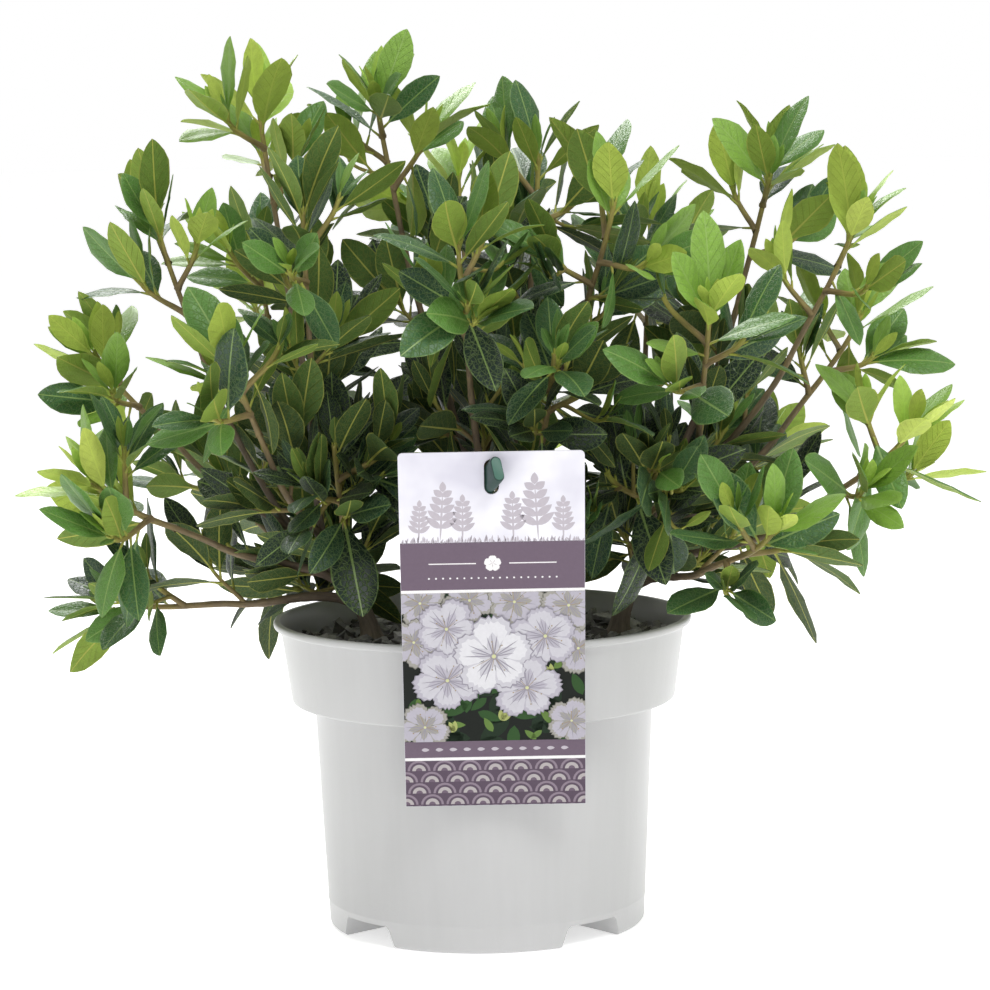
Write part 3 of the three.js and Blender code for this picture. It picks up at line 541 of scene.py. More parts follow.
class Leaves:
    """Every leaf of the crown, and what a new one is tested against."""

    ROOM = 8000

    def __init__(self):
        self.rows = []
        self.roots, self.middles = np.zeros((self.ROOM, 3)), np.zeros((self.ROOM, 3))
        self.frames = np.zeros((self.ROOM, 3, 3))
        self.sizes = np.zeros((self.ROOM, 2))
        self.lines = np.zeros((self.ROOM, 15, 3))

    def crosses(self, leaf, lines):
        """Whether any near leaf passes through this one, or this one through it."""
        middle = leaf.root + leaf.axes[1] * leaf.length / 2
        apart = np.linalg.norm(self.middles[: len(self.rows)] - middle, axis=1)
        near = np.nonzero(apart < leaf.length)[0]
        if not len(near):
            return False
        if cut((self.lines[near] - leaf.root) @ leaf.axes.T, leaf.length, leaf.width):
            return True
        mine = np.einsum("kpi,kji->kpj", lines - self.roots[near][:, None], self.frames[near])
        lengths, widths = self.sizes[near].T[:, :, None, None]
        return cut(mine, lengths, widths)

    def add(self, leaf, lines):
        i = len(self.rows)
        self.roots[i], self.frames[i], self.lines[i] = leaf.root, leaf.axes, lines
        self.sizes[i] = leaf.length, leaf.width
        self.middles[i] = leaf.root + leaf.axes[1] * leaf.length / 2
        self.rows.append(leaf)


leaves = Leaves()
LOW, HIGH = np.array(CAD_BOX[0]) / MM + 0.5, np.array(CAD_BOX[1]) / MM - 0.5


def has_room(leaf, lines, kind):
    """Whether a leaf is in the part's box and its mass's space, and off all else."""
    if (lines < LOW).any() or (lines > HIGH).any():
        return False
    if near_pot(lines, GAP).any() or near_label(lines, LEAF_ROOM["label"]).any():
        return False
    outside = SPUR["outside"] if kind == "spur" else LEAF["outside"]
    if (depth_in_space(lines, leaf.mass) < -outside).any():
        return False
    near = np.linalg.norm(LIMB_POINTS - leaf.root, axis=1) < leaf.length + LEAF_ROOM["searched"]
    spots = (LIMB_POINTS[near] - leaf.root) @ leaf.axes.T
    aside = half_width(spots[:, 1], leaf.length, leaf.width)
    through = np.abs(spots[:, 2]) < LIMB_RADII[near] + LEAF_ROOM["wood"]
    through &= (np.abs(spots[:, 0]) < aside) & (spots[:, 1] > LEAF_ROOM["foot"])
    if through.any():
        return False
    return not leaves.crosses(leaf, lines)


def add_leaf(shoot, share, turn, kind, grade, draw, tint):
    """One leaf on a shoot. It turns further round until it finds room, or is left out."""
    at = shoot.frame(share)
    point, along, _, _ = at
    for i in range(LEAF["tries"]):
        lean = math.radians(lerp(*kind["lean"], 0.35 * draw() + 0.65 * grade))
        length = LEAF["length"] * lerp(*kind["size"], draw())
        width = lerp(*kind["width"], draw())
        bend = lerp(*LEAF["bend"], draw())
        rises = LEAF["rises"] * draw()
        if kind["darkening"] > 0 and draw() < LEAF["hang_chance"]:
            rises = LEAF["hangs"]
        way = unit(leaning(at, turn + LEAF["turns_on"] * i, lean) + UP * rises)
        facing = along + UP * lerp(0.1, 0.8, grade) + leaning(at, draw() * 6.3, 1.57) * 0.45
        across = unit(np.cross(way, facing))
        axes = np.array([across, way, np.cross(across, way)])
        root = point + unit(way - along * (way @ along)) * lerp(*shoot.radii, share) * 0.5
        leaf = Leaf(root, axes, length, width, bend, 0, 0, tint, shoot.mass)
        lines = lines_of(leaf)
        if has_room(leaf, lines, shoot.kind):
            fold, twist = lerp(*LEAF["fold"], draw()), lerp(*LEAF["twist"], draw())
            leaves.add(leaf._replace(fold=fold, twist=twist), lines)
            return


def tint_of(point, draw):
    """A spray's tint: partly its age, and partly painted light at the top, sides and front and painted shade
    inside.
    """
    top = np.clip((point[2] - TINT["top_from"]) / TINT["top_over"], 0, 1)
    sides = np.clip((abs(point[0]) - TINT["sides_from"]) / TINT["sides_over"], 0, 1)
    front = np.clip(-point[1] / TINT["front_over"], 0, 1)
    # Painted shade and light: sprays deep in the crown get darker tints, and those at its edge, top, sides
    # and front lighter ones.
    darkening = TINT["shade"] - TINT["edge"] * min(outward(point), 1) ** 2
    darkening += -TINT["top"] * top - TINT["sides"] * sides - TINT["front"] * front
    return darkening + TINT["spray"] * (draw() - 0.5)


draw = seeded(LEAF["seed"])
for shoot in crown:
    tint = tint_of(shoot.curve.at(1), draw)
    turn = draw() * 2 * math.pi
    from_tip, count = LEAF["first"], 0
    for kind in KINDS:
        for i in range(kind["leaves"]):
            share = 1 - from_tip / shoot.length
            darkening = kind["darkening"]
            is_kept = darkening <= 0 or is_grown(shoot.curve.at(share), THINNING["leaf"], draw)
            if share > LEAF["lowest"] and is_kept:
                own = tint + darkening + TINT["leaf"] * (draw() - 0.5)
                own = int(np.clip(round(own), 0, TINT["oldest"]))
                grade = (i + 0.5) / kind["leaves"]
                add_leaf(shoot, share, turn + GOLDEN_ANGLE * count, kind, grade, draw, own)
            from_tip += kind["apart"]
            count += 1
print("shoots", len(crown), "leaves", len(leaves.rows))

# ---- materials


def rgba(colour):
    """A colour with its alpha, or a socket as it is."""
    return (*colour, 1) if isinstance(colour, (list, tuple)) else colour


def either_side(colour, darker, lighter):
    """Two colours, so much darker and lighter than one."""
    return [c * darker for c in colour], [min(1, c * lighter) for c in colour]


class Nodes:
    """A material's nodes, made and linked in one line each."""

    def __init__(self, name):
        self.material = bpy.data.materials.new(name)
        self.material.use_nodes = True
        self.tree = self.material.node_tree
        self.shader = self.tree.nodes["Principled BSDF"]

    def add(self, kind, inputs=None, **settings):
        node = self.tree.nodes.new(kind)
        for key, value in settings.items():
            setattr(node, key, value)
        for key, value in (inputs or {}).items():
            self.put(node, key, value)
        return node

    def put(self, node, key, value):
        if isinstance(value, bpy.types.NodeSocket):
            self.tree.links.new(value, node.inputs[key])
        else:
            node.inputs[key].default_value = value

    def maths(self, operation, a, b=0.0, c=0.0):
        return self.add("ShaderNodeMath", {0: a, 1: b, 2: c}, operation=operation).outputs[0]

    def vector(self, operation, a, b=(0, 0, 0)):
        return self.add("ShaderNodeVectorMath", {0: a, 1: b}, operation=operation).outputs[0]

    def ramp(self, value, stops):
        node = self.add("ShaderNodeValToRGB", {0: value})
        elements = node.color_ramp.elements
        while len(elements) < len(stops):
            elements.new(0.5)
        for element, (position, colour) in zip(elements, stops):
            element.position = position
            element.color = rgba(colour)
        return node.outputs[0]

    def mix(self, share, a, b, blend_type="MIX"):
        inputs = {0: share, 6: rgba(a), 7: rgba(b)}
        return self.add("ShaderNodeMix", inputs, data_type="RGBA", blend_type=blend_type).outputs[2]

    def noise(self, scale, detail=3.0, roughness=0.55, vector=None):
        vector = vector or self.add("ShaderNodeTexCoord").outputs["Object"]
        inputs = {"Vector": vector, "Scale": scale, "Detail": detail, "Roughness": roughness}
        return self.add("ShaderNodeTexNoise", inputs).outputs["Fac"]

    def bump(self, height, distance, strength=1.0):
        node = self.add("ShaderNodeBump", {"Height": height, "Distance": distance, "Strength": strength})
        self.put(self.shader, "Normal", node.outputs[0])

    def finish(self, colour, roughness, **others):
        self.put(self.shader, "Base Color", rgba(colour))
        self.put(self.shader, "Roughness", roughness)
        for key, value in others.items():
            self.put(self.shader, key.replace("_", " "), value)
        return self.material


TILES = 4  # the leaf map is a square of 4 by 4 tiles: one for each tint and side
BLADE_IN_TILE = 0.94  # the share of its tile that a leaf's blade fills
# The lightest tints, the undersides' most of all, are partly painted light shining through the leaves.
UPPER_TINTS = [(168, 202, 82), (130, 170, 66), (90, 134, 58), (58, 98, 52), (36, 68, 44), (20, 42, 30)]
UNDER_TINTS = [(200, 216, 102), (170, 192, 80), (138, 164, 66), (106, 134, 56), (82, 110, 50), (62, 86, 44)]


def leaf_material(name, colour, under, age):
    """A leaf's side: its midrib and net of veins, drawn from its place on the leaf alone.

    The net is faint on a fresh leaf and plain on an old one, with an age of 1.
    """
    n = Nodes(name)
    uv = n.add("ShaderNodeUVMap", uv_map="OFBake").outputs[0]
    tile = n.vector("FRACTION", n.vector("MULTIPLY", uv, (TILES, TILES, 1)))
    # The tile is stretched to the leaf's true proportions for the net, so that its cells come out round.
    shape = n.vector("MULTIPLY", tile, (0.44, 1, 1))
    split = n.add("ShaderNodeSeparateXYZ", {0: tile})
    x = n.maths("ABSOLUTE", n.maths("SUBTRACT", split.outputs[0], 0.5))
    y = split.outputs[1]
    midrib_width = n.maths("MULTIPLY_ADD", y, -0.02, 0.032)
    midrib = n.maths("LESS_THAN", x, midrib_width)
    # Side veins sweep forward from the midrib and fade towards the margin.
    sweep = n.maths("SUBTRACT", y, n.maths("MULTIPLY", n.maths("POWER", x, 0.8), 0.55))
    bent = n.maths("MULTIPLY_ADD", n.noise(4.0, 1.0, vector=shape), 0.03, sweep)
    wave = n.maths("ABSOLUTE", n.maths("SINE", n.maths("MULTIPLY", bent, 24.0)))
    vein = n.maths("MAXIMUM", n.maths("SUBTRACT", 1.0, n.maths("MULTIPLY", wave, 6.0)), 0.0)
    waved = n.add("ShaderNodeTexNoise", {"Vector": shape, "Scale": 16.0, "Detail": 2.0}).outputs["Color"]
    strayed = n.vector("ADD", shape, n.vector("MULTIPLY", waved, (0.045, 0.045, 0)))
    net = n.add("ShaderNodeTexVoronoi", {"Vector": strayed, "Scale": 21.0}, feature="DISTANCE_TO_EDGE")
    net_line = n.maths("MAXIMUM", n.maths("SUBTRACT", 1.0, n.maths("MULTIPLY", net.outputs[0], 10.0)), 0.0)
    # A pale, hairy margin follows the leaf's own outline.
    outline = n.add("ShaderNodeFloatCurve", {"Value": y})
    spots = outline.mapping.curves[0].points
    for at, reach in zip(OUTLINE_AT[1:-1], OUTLINE[1:-1]):
        spots.new(at * BLADE_IN_TILE + (1 - BLADE_IN_TILE) / 2, reach)
    spots[0].location, spots[-1].location = (0.0, 0.03), (1.0, 0.03)
    outline.mapping.update()
    half = n.maths("MULTIPLY", outline.outputs[0], BLADE_IN_TILE / 2)
    margin = n.maths("GREATER_THAN", n.maths("DIVIDE", x, half), 0.92)
    mottle = n.noise(6.0, 3.0, vector=shape)
    grain = n.noise(70.0, 2.0, 0.7, vector=shape)
    mottle = n.maths("MULTIPLY_ADD", n.maths("SUBTRACT", grain, 0.5), 0.8, mottle)
    shade = n.mix(mottle, *either_side(colour, 0.72, 1.3))
    pale = linear(190, 190, 92) if under else linear(150, 178, 100)
    pale = [max(own * 1.15, c) for own, c in zip(colour, pale)]
    veins = n.maths("MULTIPLY", vein, 0.3 if under else 0.4)
    fine = n.maths("MULTIPLY", net_line, lerp(0.06, 0.14, age) if under else lerp(0.1, 0.34, age))
    fine = n.maths("MAXIMUM", fine, n.maths("MULTIPLY", margin, 0.42))
    lined = n.mix(n.maths("MAXIMUM", veins, fine), shade, pale)
    drawn = n.mix(n.maths("MULTIPLY", midrib, 0.8 if under else 0.62), lined, pale)
    net_relief = n.maths("MULTIPLY", net_line, 0.15 if under else lerp(0.12, 0.6, age))
    relief = n.maths("MAXIMUM", net_relief, n.maths("MULTIPLY", vein, lerp(0.5, 1.0, age)))
    raised = n.maths("MULTIPLY", n.maths("MAXIMUM", relief, midrib), 1.0 if under else -1.0)
    n.bump(n.maths("MULTIPLY_ADD", grain, 0.15, raised), 0.0007, 0.7)
    return n.finish(drawn, 0.62 if under else 0.4, Specular_IOR_Level=0.3 if under else 0.45)


LEAF_MATERIALS = [
    leaf_material(f"leaf_{side}_{i}", linear(*tint), side == "under", i / (len(tints) - 1))
    for side, tints in (("upper", UPPER_TINTS), ("under", UNDER_TINTS))
    for i, tint in enumerate(tints)
]


def bark_material():
    """Grey-brown at the foot, purplish brown along the boughs and olive in the young twigs."""
    n = Nodes("azalea_bark")
    age = n.add("ShaderNodeAttribute", attribute_name="Age").outputs["Fac"]
    along = n.add("ShaderNodeUVMap", uv_map="Bark").outputs[0]
    streaks = n.noise(1.0, 5.0, 0.65, along)
    patches = n.noise(110.0, 3.0)
    shifted = n.maths("ADD", age, n.maths("MULTIPLY", n.maths("SUBTRACT", patches, 0.5), 0.3))
    tones = {
        0.0: (160, 168, 74), 0.14: (150, 144, 72), 0.32: (128, 112, 74), 0.55: (112, 98, 82),
        0.8: (106, 96, 88), 1.0: (126, 116, 104),
    }
    body = n.ramp(shifted, [(at, linear(*tone)) for at, tone in tones.items()])
    shade = n.ramp(streaks, [(0.3, (0.68, 0.66, 0.66)), (0.64, (1.25, 1.22, 1.15))])
    n.bump(streaks, 0.0006, 0.7)
    return n.finish(n.mix(1.0, body, shade, "MULTIPLY"), 0.7)


BARK = bark_material()

# ---- wood


class Wood:
    """Tubes along curves, joined in one mesh, with bark relief pressed into their rings."""

    def __init__(self):
        self.points, self.faces, self.uvs, self.ages = [], [], [], []
        self.count = 0

    def tube(self, curve, radius_at, sides, step, relief, age, seed, first=0.0):
        """Adds a tube with rings a step apart, from the share of the curve that is first to its tip."""
        length = curve.length()
        rings = max(3, math.ceil(length * (1 - first) / step))
        t = np.linspace(first, 1, rings + 1)
        centres = curve.at(t)
        tangents = np.gradient(centres, axis=0)
        tangents /= np.linalg.norm(tangents, axis=1)[:, None]
        across = np.cross(tangents, ASIDE)
        across /= np.linalg.norm(across, axis=1)[:, None]
        over = np.cross(across, tangents)
        turns = np.linspace(0, 2 * math.pi, sides, endpoint=False)
        rng = np.random.default_rng(seed)
        fissures = rng.normal(0, 1, (rings // 3 + 3, sides))
        spots = np.arange(rings + 1) / 3
        low = spots.astype(int)
        share = (spots - low)[:, None]
        smooth = fissures[low] * (1 - share) + fissures[low + 1] * share
        rough = rng.normal(0, 0.35, smooth.shape)
        radii = radius_at(t, length)[:, None] * (1 + relief * (smooth + rough))
        side = np.cos(turns)[None, :, None] * across[:, None] + np.sin(turns)[None, :, None] * over[:, None]
        points = centres[:, None] + side * radii[..., None]
        grid = np.arange((rings + 1) * sides).reshape(rings + 1, sides) + self.count
        v = np.broadcast_to((t * length)[:, None] / 9, (rings + 1, sides))
        u = np.broadcast_to(turns * radii.mean() / 1.6, (rings + 1, sides))
        wide = turns[1] * radii.mean() / 1.6
        corners = [
            np.stack([u[:-1], v[:-1]], -1),
            np.stack([u[:-1] + wide, v[:-1]], -1),
            np.stack([u[1:] + wide, v[1:]], -1),
            np.stack([u[1:], v[1:]], -1),
        ]
        self.points.append(points.reshape(-1, 3))
        self.faces.append(ring_faces(grid[:-1], grid[1:]))
        self.uvs.append(np.stack(corners, 2).reshape(-1, 2) + seed * 3.7)
        self.ages.append(np.repeat(np.interp(t, [0, 1], age), sides))
        self.count += (rings + 1) * sides
        self.cap(grid[-1])

    def cap(self, ring):
        """Closes a tube's tip with quads across its last ring."""
        half = len(ring) // 2
        quads = [(ring[i], ring[i + 1], ring[-i - 2], ring[-i - 1]) for i in range(half - 1)]
        self.faces.append(np.array(quads))
        self.uvs.append(np.zeros((len(quads) * 4, 2)))

    def piece(self, name):
        points, faces, uvs = map(np.concatenate, (self.points, self.faces, self.uvs))
        piece = make_piece(name, points, faces, [BARK], uvs=uvs, uv_name="Bark")
        ages = piece.data.attributes.new("Age", "FLOAT", "POINT")
        ages.data.foreach_set("value", np.concatenate(self.ages).astype(np.float32))
        return piece


def limb_radius(limb, is_trunk):
    """A limb's radius along its way, with a swollen foot, and knots where its old leaves stood."""
    start, end = limb.radii
    swell = 2.6 if is_trunk else 0.55

    def radius_at(t, length):
        run = t * length
        plain = lerp(start, end, t)
        foot = swell * np.exp(-run / (2.6 if is_trunk else 4.5))
        knots = 0.1 * np.clip(np.sin(run / 2.9 + length) - 0.72, 0, 1) * 3
        return plain + foot + (0 if is_trunk else plain * knots)

    return radius_at


wood = Wood()
for i, (name, limb) in enumerate(limbs.items()):
    is_trunk = name in TRUNKS
    age = (1.0, 0.85) if is_trunk else (0.78, 0.42)
    sides = 16 if is_trunk else 10
    wood.tube(limb.curve, limb_radius(limb, is_trunk), sides, 1.3, 0.045, age, i + 1)
dress(wood.piece("shrub_wood"), "bark", *[limb.name for limb in limbs.values()])

twigs = Wood()
TWIG_AGES = {"stem": (0.48, 0.14), "shoot": (0.38, 0.08), "fine": (0.3, 0.02), "spur": (0.4, 0.04)}
INTO_BOUGH = 1.2  # how far a mass's stem is drawn back into its bough's tip
for i, shoot in enumerate(crown):
    swell = 0 if shoot.kind == "stem" else 0.3
    first = -INTO_BOUGH / shoot.length if shoot.kind == "stem" else 0

    def twig_radius(t, length, radii=shoot.radii, swell=swell):
        return lerp(*radii, t) * (1 + swell * np.exp(-t * length / 1.5))

    twigs.tube(shoot.curve, twig_radius, 8, 1.8, 0.035, TWIG_AGES[shoot.kind], 100 + i, first)


def leaf_side(rows, columns, offset):
    """One side of every leaf: its points in a grid from root to tip, set off from the blade's middle."""
    root, length, width, bend, fold, twist = (
        np.array([getattr(leaf, name) for leaf in rows])[:, None, None]
        for name in ("root", "length", "width", "bend", "fold", "twist")
    )
    side = np.linspace(-1, 1, columns)[None, None]
    along = (LEAF["petiole"] + (1 - LEAF["petiole"]) * OUTLINE_AT)[None, :, None]
    reach = OUTLINE[None, :, None] * width / 2
    ripple = 0.05 * np.sin(along * 17 + twist * 40) * side**2 * reach
    z = fold * np.abs(side) * reach - 0.16 * side**4 * reach + ripple + twist * along * side * reach
    z = z * length + offset * (1 - side**4)
    # The blade bends back along its length.
    angle = bend * along
    sweep = np.where(np.abs(bend) < 1e-3, along, np.sin(angle) / np.where(bend == 0, 1, bend))
    drop = -bend * along**2 / 2
    y, z = sweep * length + z * np.sin(angle), drop * length + z * np.cos(angle)
    local = np.stack([side * reach * length, y, z], -1)
    return np.einsum("nrci,nij->nrcj", local, np.array([leaf.axes for leaf in rows])) + root


def leaf_piece(name, rows):
    """One piece of leaves: a grid of faces for each upper side and one for each lower side."""
    tints = np.array([leaf.tint for leaf in rows])
    rings = len(OUTLINE_AT)
    points, faces, slots, uvs, count = [], [], [], [], 0
    for under, columns in enumerate((LEAF["upper"] + 1, LEAF["lower"] + 1)):
        grid = np.arange(rings * columns).reshape(rings, columns)
        a, b, c, d = grid[:-1, :-1], grid[:-1, 1:], grid[1:, 1:], grid[1:, :-1]
        quads = np.stack([a, d, c, b] if under else [a, b, c, d], -1).reshape(-1, 4)
        across, along = np.meshgrid(np.linspace(0, 1, columns), OUTLINE_AT)
        spot = np.stack([0.5 + (across - 0.5) * OUTLINE[:, None], along], -1).reshape(-1, 2)
        corner_uv = spot[quads.ravel()] * BLADE_IN_TILE + (1 - BLADE_IN_TILE) / 2
        tile = tints + under * len(UPPER_TINTS)
        shift = np.stack([tile % TILES, tile // TILES], 1)[:, None]
        starts = np.arange(len(rows))[:, None, None] * rings * columns + count
        points.append(leaf_side(rows, columns, (0.5 - under) * LEAF["thickness"]).reshape(-1, 3))
        faces.append((quads[None] + starts).reshape(-1, 4))
        slots.append(np.repeat(tile, len(quads)))
        uvs.append(((corner_uv[None] + shift) / TILES).reshape(-1, 2))
        count += len(rows) * rings * columns
    points, faces, slots, uvs = map(np.concatenate, (points, faces, slots, uvs))
    return make_piece(name, points, faces, LEAF_MATERIALS, slots, uvs)


GROUPS = {
    "leaves_left": ("top_left", "left_low", "front_left_low", "left_middle", "left_upper"),
    "leaves_front_left": ("front_left", "front_left_upper", "front_middle_left", "top_middle_left"),
    "leaves_front": ("front_middle", "front_middle_upper", "top_middle", "front_right_upper"),
    "leaves_front_right": ("front_right", "front_right_low", "front_right_middle", "top_right"),
    "leaves_right": ("right_upper", "right_middle", "right_low"),
    "leaves_back_left": ("back_left_low", "back_left", "back_middle"),
    "leaves_back_right": ("back_middle_low", "back_right", "back_right_low"),
}
for name, masses in GROUPS.items():
    rows = [leaf for leaf in leaves.rows if MASSES[leaf.mass][0] in masses]
    dress(leaf_piece(name, rows), "foliage", *[f"foliage_{mass}" for mass in masses])

for i, leaf in enumerate(leaves.rows):
    way = leaf.axes[1]
    end = leaf.root + way * leaf.length * (LEAF["petiole"] + 0.04)
    petiole = Curve(leaf.root - way * 0.8, way, end, way)
    twigs.tube(petiole, lambda t, _: lerp(0.75, 0.5, t), 5, 3.0, 0.0, (0.02, 0.0), 5000 + i)
dress(twigs.piece("shrub_twigs"), "bark")

# ---- pot


def plastic(name, colour, roughness, speckle):
    """Moulded plastic: almost even in colour, with a fine uneven skin and faint upright flow marks."""
    n = Nodes(name)
    place = n.add("ShaderNodeTexCoord").outputs["Object"]
    cloud = n.noise(16.0, 4.0, vector=n.vector("MULTIPLY", place, (9, 9, 1)))
    skin = n.noise(900.0, 2.0)
    rough = n.maths("MULTIPLY_ADD", cloud, 0.14, roughness - 0.07)
    n.bump(n.maths("ADD", skin, n.maths("MULTIPLY", cloud, 1.5)), 0.00012, 0.5)
    return n.finish(n.mix(cloud, *either_side(colour, 1 - speckle, 1 + speckle)), rough)


def arc(centre, radius, start, end, steps):
    angles = np.radians(np.linspace(start, end, steps))
    return [(centre[0] + radius * math.cos(a), centre[1] + radius * math.sin(a)) for a in angles]


def turned(profile, sides):
    """The points and faces of a closed profile of radii and heights turned round the pot's axis."""
    turns = np.linspace(0, 2 * math.pi, sides, endpoint=False)
    points = [(r * math.cos(turn), r * math.sin(turn), z) for r, z in profile for turn in turns]
    grid = np.arange(len(points)).reshape(len(profile), sides)
    return points, ring_faces(grid, np.roll(grid, -1, 0))


def loft(rings):
    """The points and faces of a solid through rings of points, with a flat face at both ends."""
    grid = np.arange(len(rings) * len(rings[0])).reshape(len(rings), -1)
    faces = [*ring_faces(grid[:-1], grid[1:]), grid[0][::-1], grid[-1]]
    return np.concatenate(rings), faces


def pot_profile():
    """The pot's section, up its outside, round the lip and down its inside to the floor."""
    outside = [
        (0.02, 0.0), (24, 0.0), (48, 0.0), *arc((70.2, 1.8), 1.8, -90, -4, 6), (72.5, 11.2), (72.75, 11.7),
        (72.75, 12.3), (72.6, 12.8), (74.8, 57), (76.95, 102.9), (77.5, 103.2), (84.6, 103.0),
        *arc((85.9, 104.1), 1.4, -90, -5, 6), (89.6, 121), (91.75, 136.3), (92.1, 136.5), (93.2, 136.6),
        *arc((93.7, 137.9), 1.25, -80, 0, 5), *arc((93.7, 138.7), 1.25, 0, 90, 6), (92.2, 139.9),
    ]
    inside = [(91.2, 138.4), (90.2, 133), (86.2, 106), (84.6, 104.6), (76.4, 104.4), (75.1, 102.8),
              (72.9, 57), (70.2, 2.4), (69.4, 1.9), (48, 1.8), (24, 1.8), (0.02, 1.8)]
    return outside + inside


def drain_bar(margin):
    """The bar that cuts the drain channel along +X, grown by a margin."""
    foot, top, rise = DRAIN["foot"] / 2 + margin, DRAIN["top"] / 2 + margin, DRAIN["height"] + margin
    section = [(foot, -6), (foot, 0), (top + 1.2, rise - 1.6), (top - 0.4, rise)]
    section += [(-y, z) for y, z in reversed(section)]
    return loft([[(x, y, z) for y, z in section] for x in (DRAIN["inner"] - margin, POT["rim"])])


def drain_hole():
    """The rod that cuts the hole in the drain channel along +X."""
    circle = arc((DRAIN["hole_at"], 0), DRAIN["hole"], 0, 345, 24)
    return loft([[(x, y, z) for x, y in circle] for z in (-10, 30)])


def at_drains(name, shape, material):
    """A shape set at each of the pot's drain channels, as one piece."""
    own, own_faces = shape
    points, faces = [], []
    for i in range(DRAIN["count"]):
        turn = Matrix.Rotation(math.radians(DRAIN["first_angle"] + 360 / DRAIN["count"] * i), 3, "Z")
        points.append(own @ np.array(turn).T)
        faces += [face + i * len(own) for face in own_faces]
    return make_piece(name, np.concatenate(points), faces, [material])


def combine(piece, cutter, operation):
    """Joins or cuts one piece with another, which is then gone."""
    modifier = piece.modifiers.new("combine", "BOOLEAN")
    modifier.operation, modifier.object, modifier.solver = operation, cutter, "EXACT"
    graph = bpy.context.evaluated_depsgraph_get()
    made = bpy.data.meshes.new_from_object(piece.evaluated_get(graph))
    piece.modifiers.clear()
    piece.data = made
    bpy.data.objects.remove(cutter)


def make_pot():
    grey = plastic("pot_grey_plastic", linear(194, 194, 194), 0.34, 0.045)
    pot = make_piece("nursery_pot", *turned(pot_profile(), 144), [grey])
    # The channels' walls end inside the pot's own wall and floor.
    walls = at_drains("drain_walls", drain_bar(POT["wall"]), grey)
    within = turned([(0.02, 0.7), (71.6, 0.7), (72.1, 40), (0.02, 40)], 144)
    combine(walls, make_piece("within", *within, [grey]), "INTERSECT")
    combine(pot, walls, "UNION")
    combine(pot, at_drains("drain_channels", drain_bar(0), grey), "DIFFERENCE")
    combine(pot, at_drains("drain_holes", drain_hole(), grey), "DIFFERENCE")
    pot.data.polygons.foreach_set("use_smooth", [True] * len(pot.data.polygons))
    pot.data.set_sharp_from_angle(angle=math.radians(32))
    dress(pot, "pot_plastic", "pot")


make_pot()

# ---- soil


def soil_material(name, dark, light):
    n = Nodes(name)
    grain = n.noise(260.0, 6.0, 0.7)
    n.bump(grain, 0.0012, 0.9)
    return n.finish(n.ramp(grain, [(0.3, dark), (0.7, light)]), 0.92)


# The soil's rings and sides, its edge inside the pot, how far below the part's own soil it lies, how far
# it drops at its edge, and the share of its width that its skirt keeps.
SOIL = dict(rings=60, sides=150, edge=88.8, below=1.8, edge_drop=2.2, skirt=0.955)
# Bark chips: how many, how far out they and their ends lie, how far off a stem, and their least and
# greatest half length, width and thickness.
CHIPS = dict(count=1300, reach=86, edge=88, off_stems=8, low=(2.0, 1.2, 0.4), high=(6.4, 3.4, 1.3))
CHIP_TONES = (
    ((98, 96, 94), (164, 162, 159)),
    ((142, 140, 138), (206, 204, 201)),
    ((52, 50, 48), (108, 104, 100)),
)


def rough_ground(x, y, waves):
    """The height of the soil: a few broad swells and finer clods, all below the rim."""
    return sum(size * np.sin(x * kx + y * ky + phase) for kx, ky, phase, size in waves)


def make_soil():
    rng = np.random.default_rng(31)
    waves = [
        (rng.normal(0, k), rng.normal(0, k), rng.uniform(0, 6.3), size)
        for k, size in [(0.05, 0.5)] * 4 + [(0.2, 0.3)] * 6 + [(0.7, 0.22)] * 8
    ]
    sides, edge = SOIL["sides"], SOIL["edge"]
    radii = np.linspace(0.2, edge, SOIL["rings"])[:, None]
    turns = np.linspace(0, 2 * math.pi, sides, endpoint=False)
    x, y = radii * np.cos(turns), radii * np.sin(turns)
    z = SOIL_TOP - SOIL["below"] + rough_ground(x, y, waves) - SOIL["edge_drop"] * (radii / edge) ** 6
    top = np.stack([x, y, z], -1)
    skirt = [x[-1] * SOIL["skirt"], y[-1] * SOIL["skirt"], np.full(sides, COLLAR_FOOT + 3)]
    skirt = np.stack(skirt, -1)[None]
    points = np.concatenate([skirt * [0.01, 0.01, 1], skirt, top[::-1]]).reshape(-1, 3)
    grid = np.arange(len(points)).reshape(-1, sides)
    peat = soil_material("damp_peat", linear(30, 26, 24), linear(74, 66, 60))
    soil = make_piece("soil_surface", points, ring_faces(grid[:-1], grid[1:]), [peat])
    dress(soil, "potting_soil", "soil")
    make_chips(rng, waves)


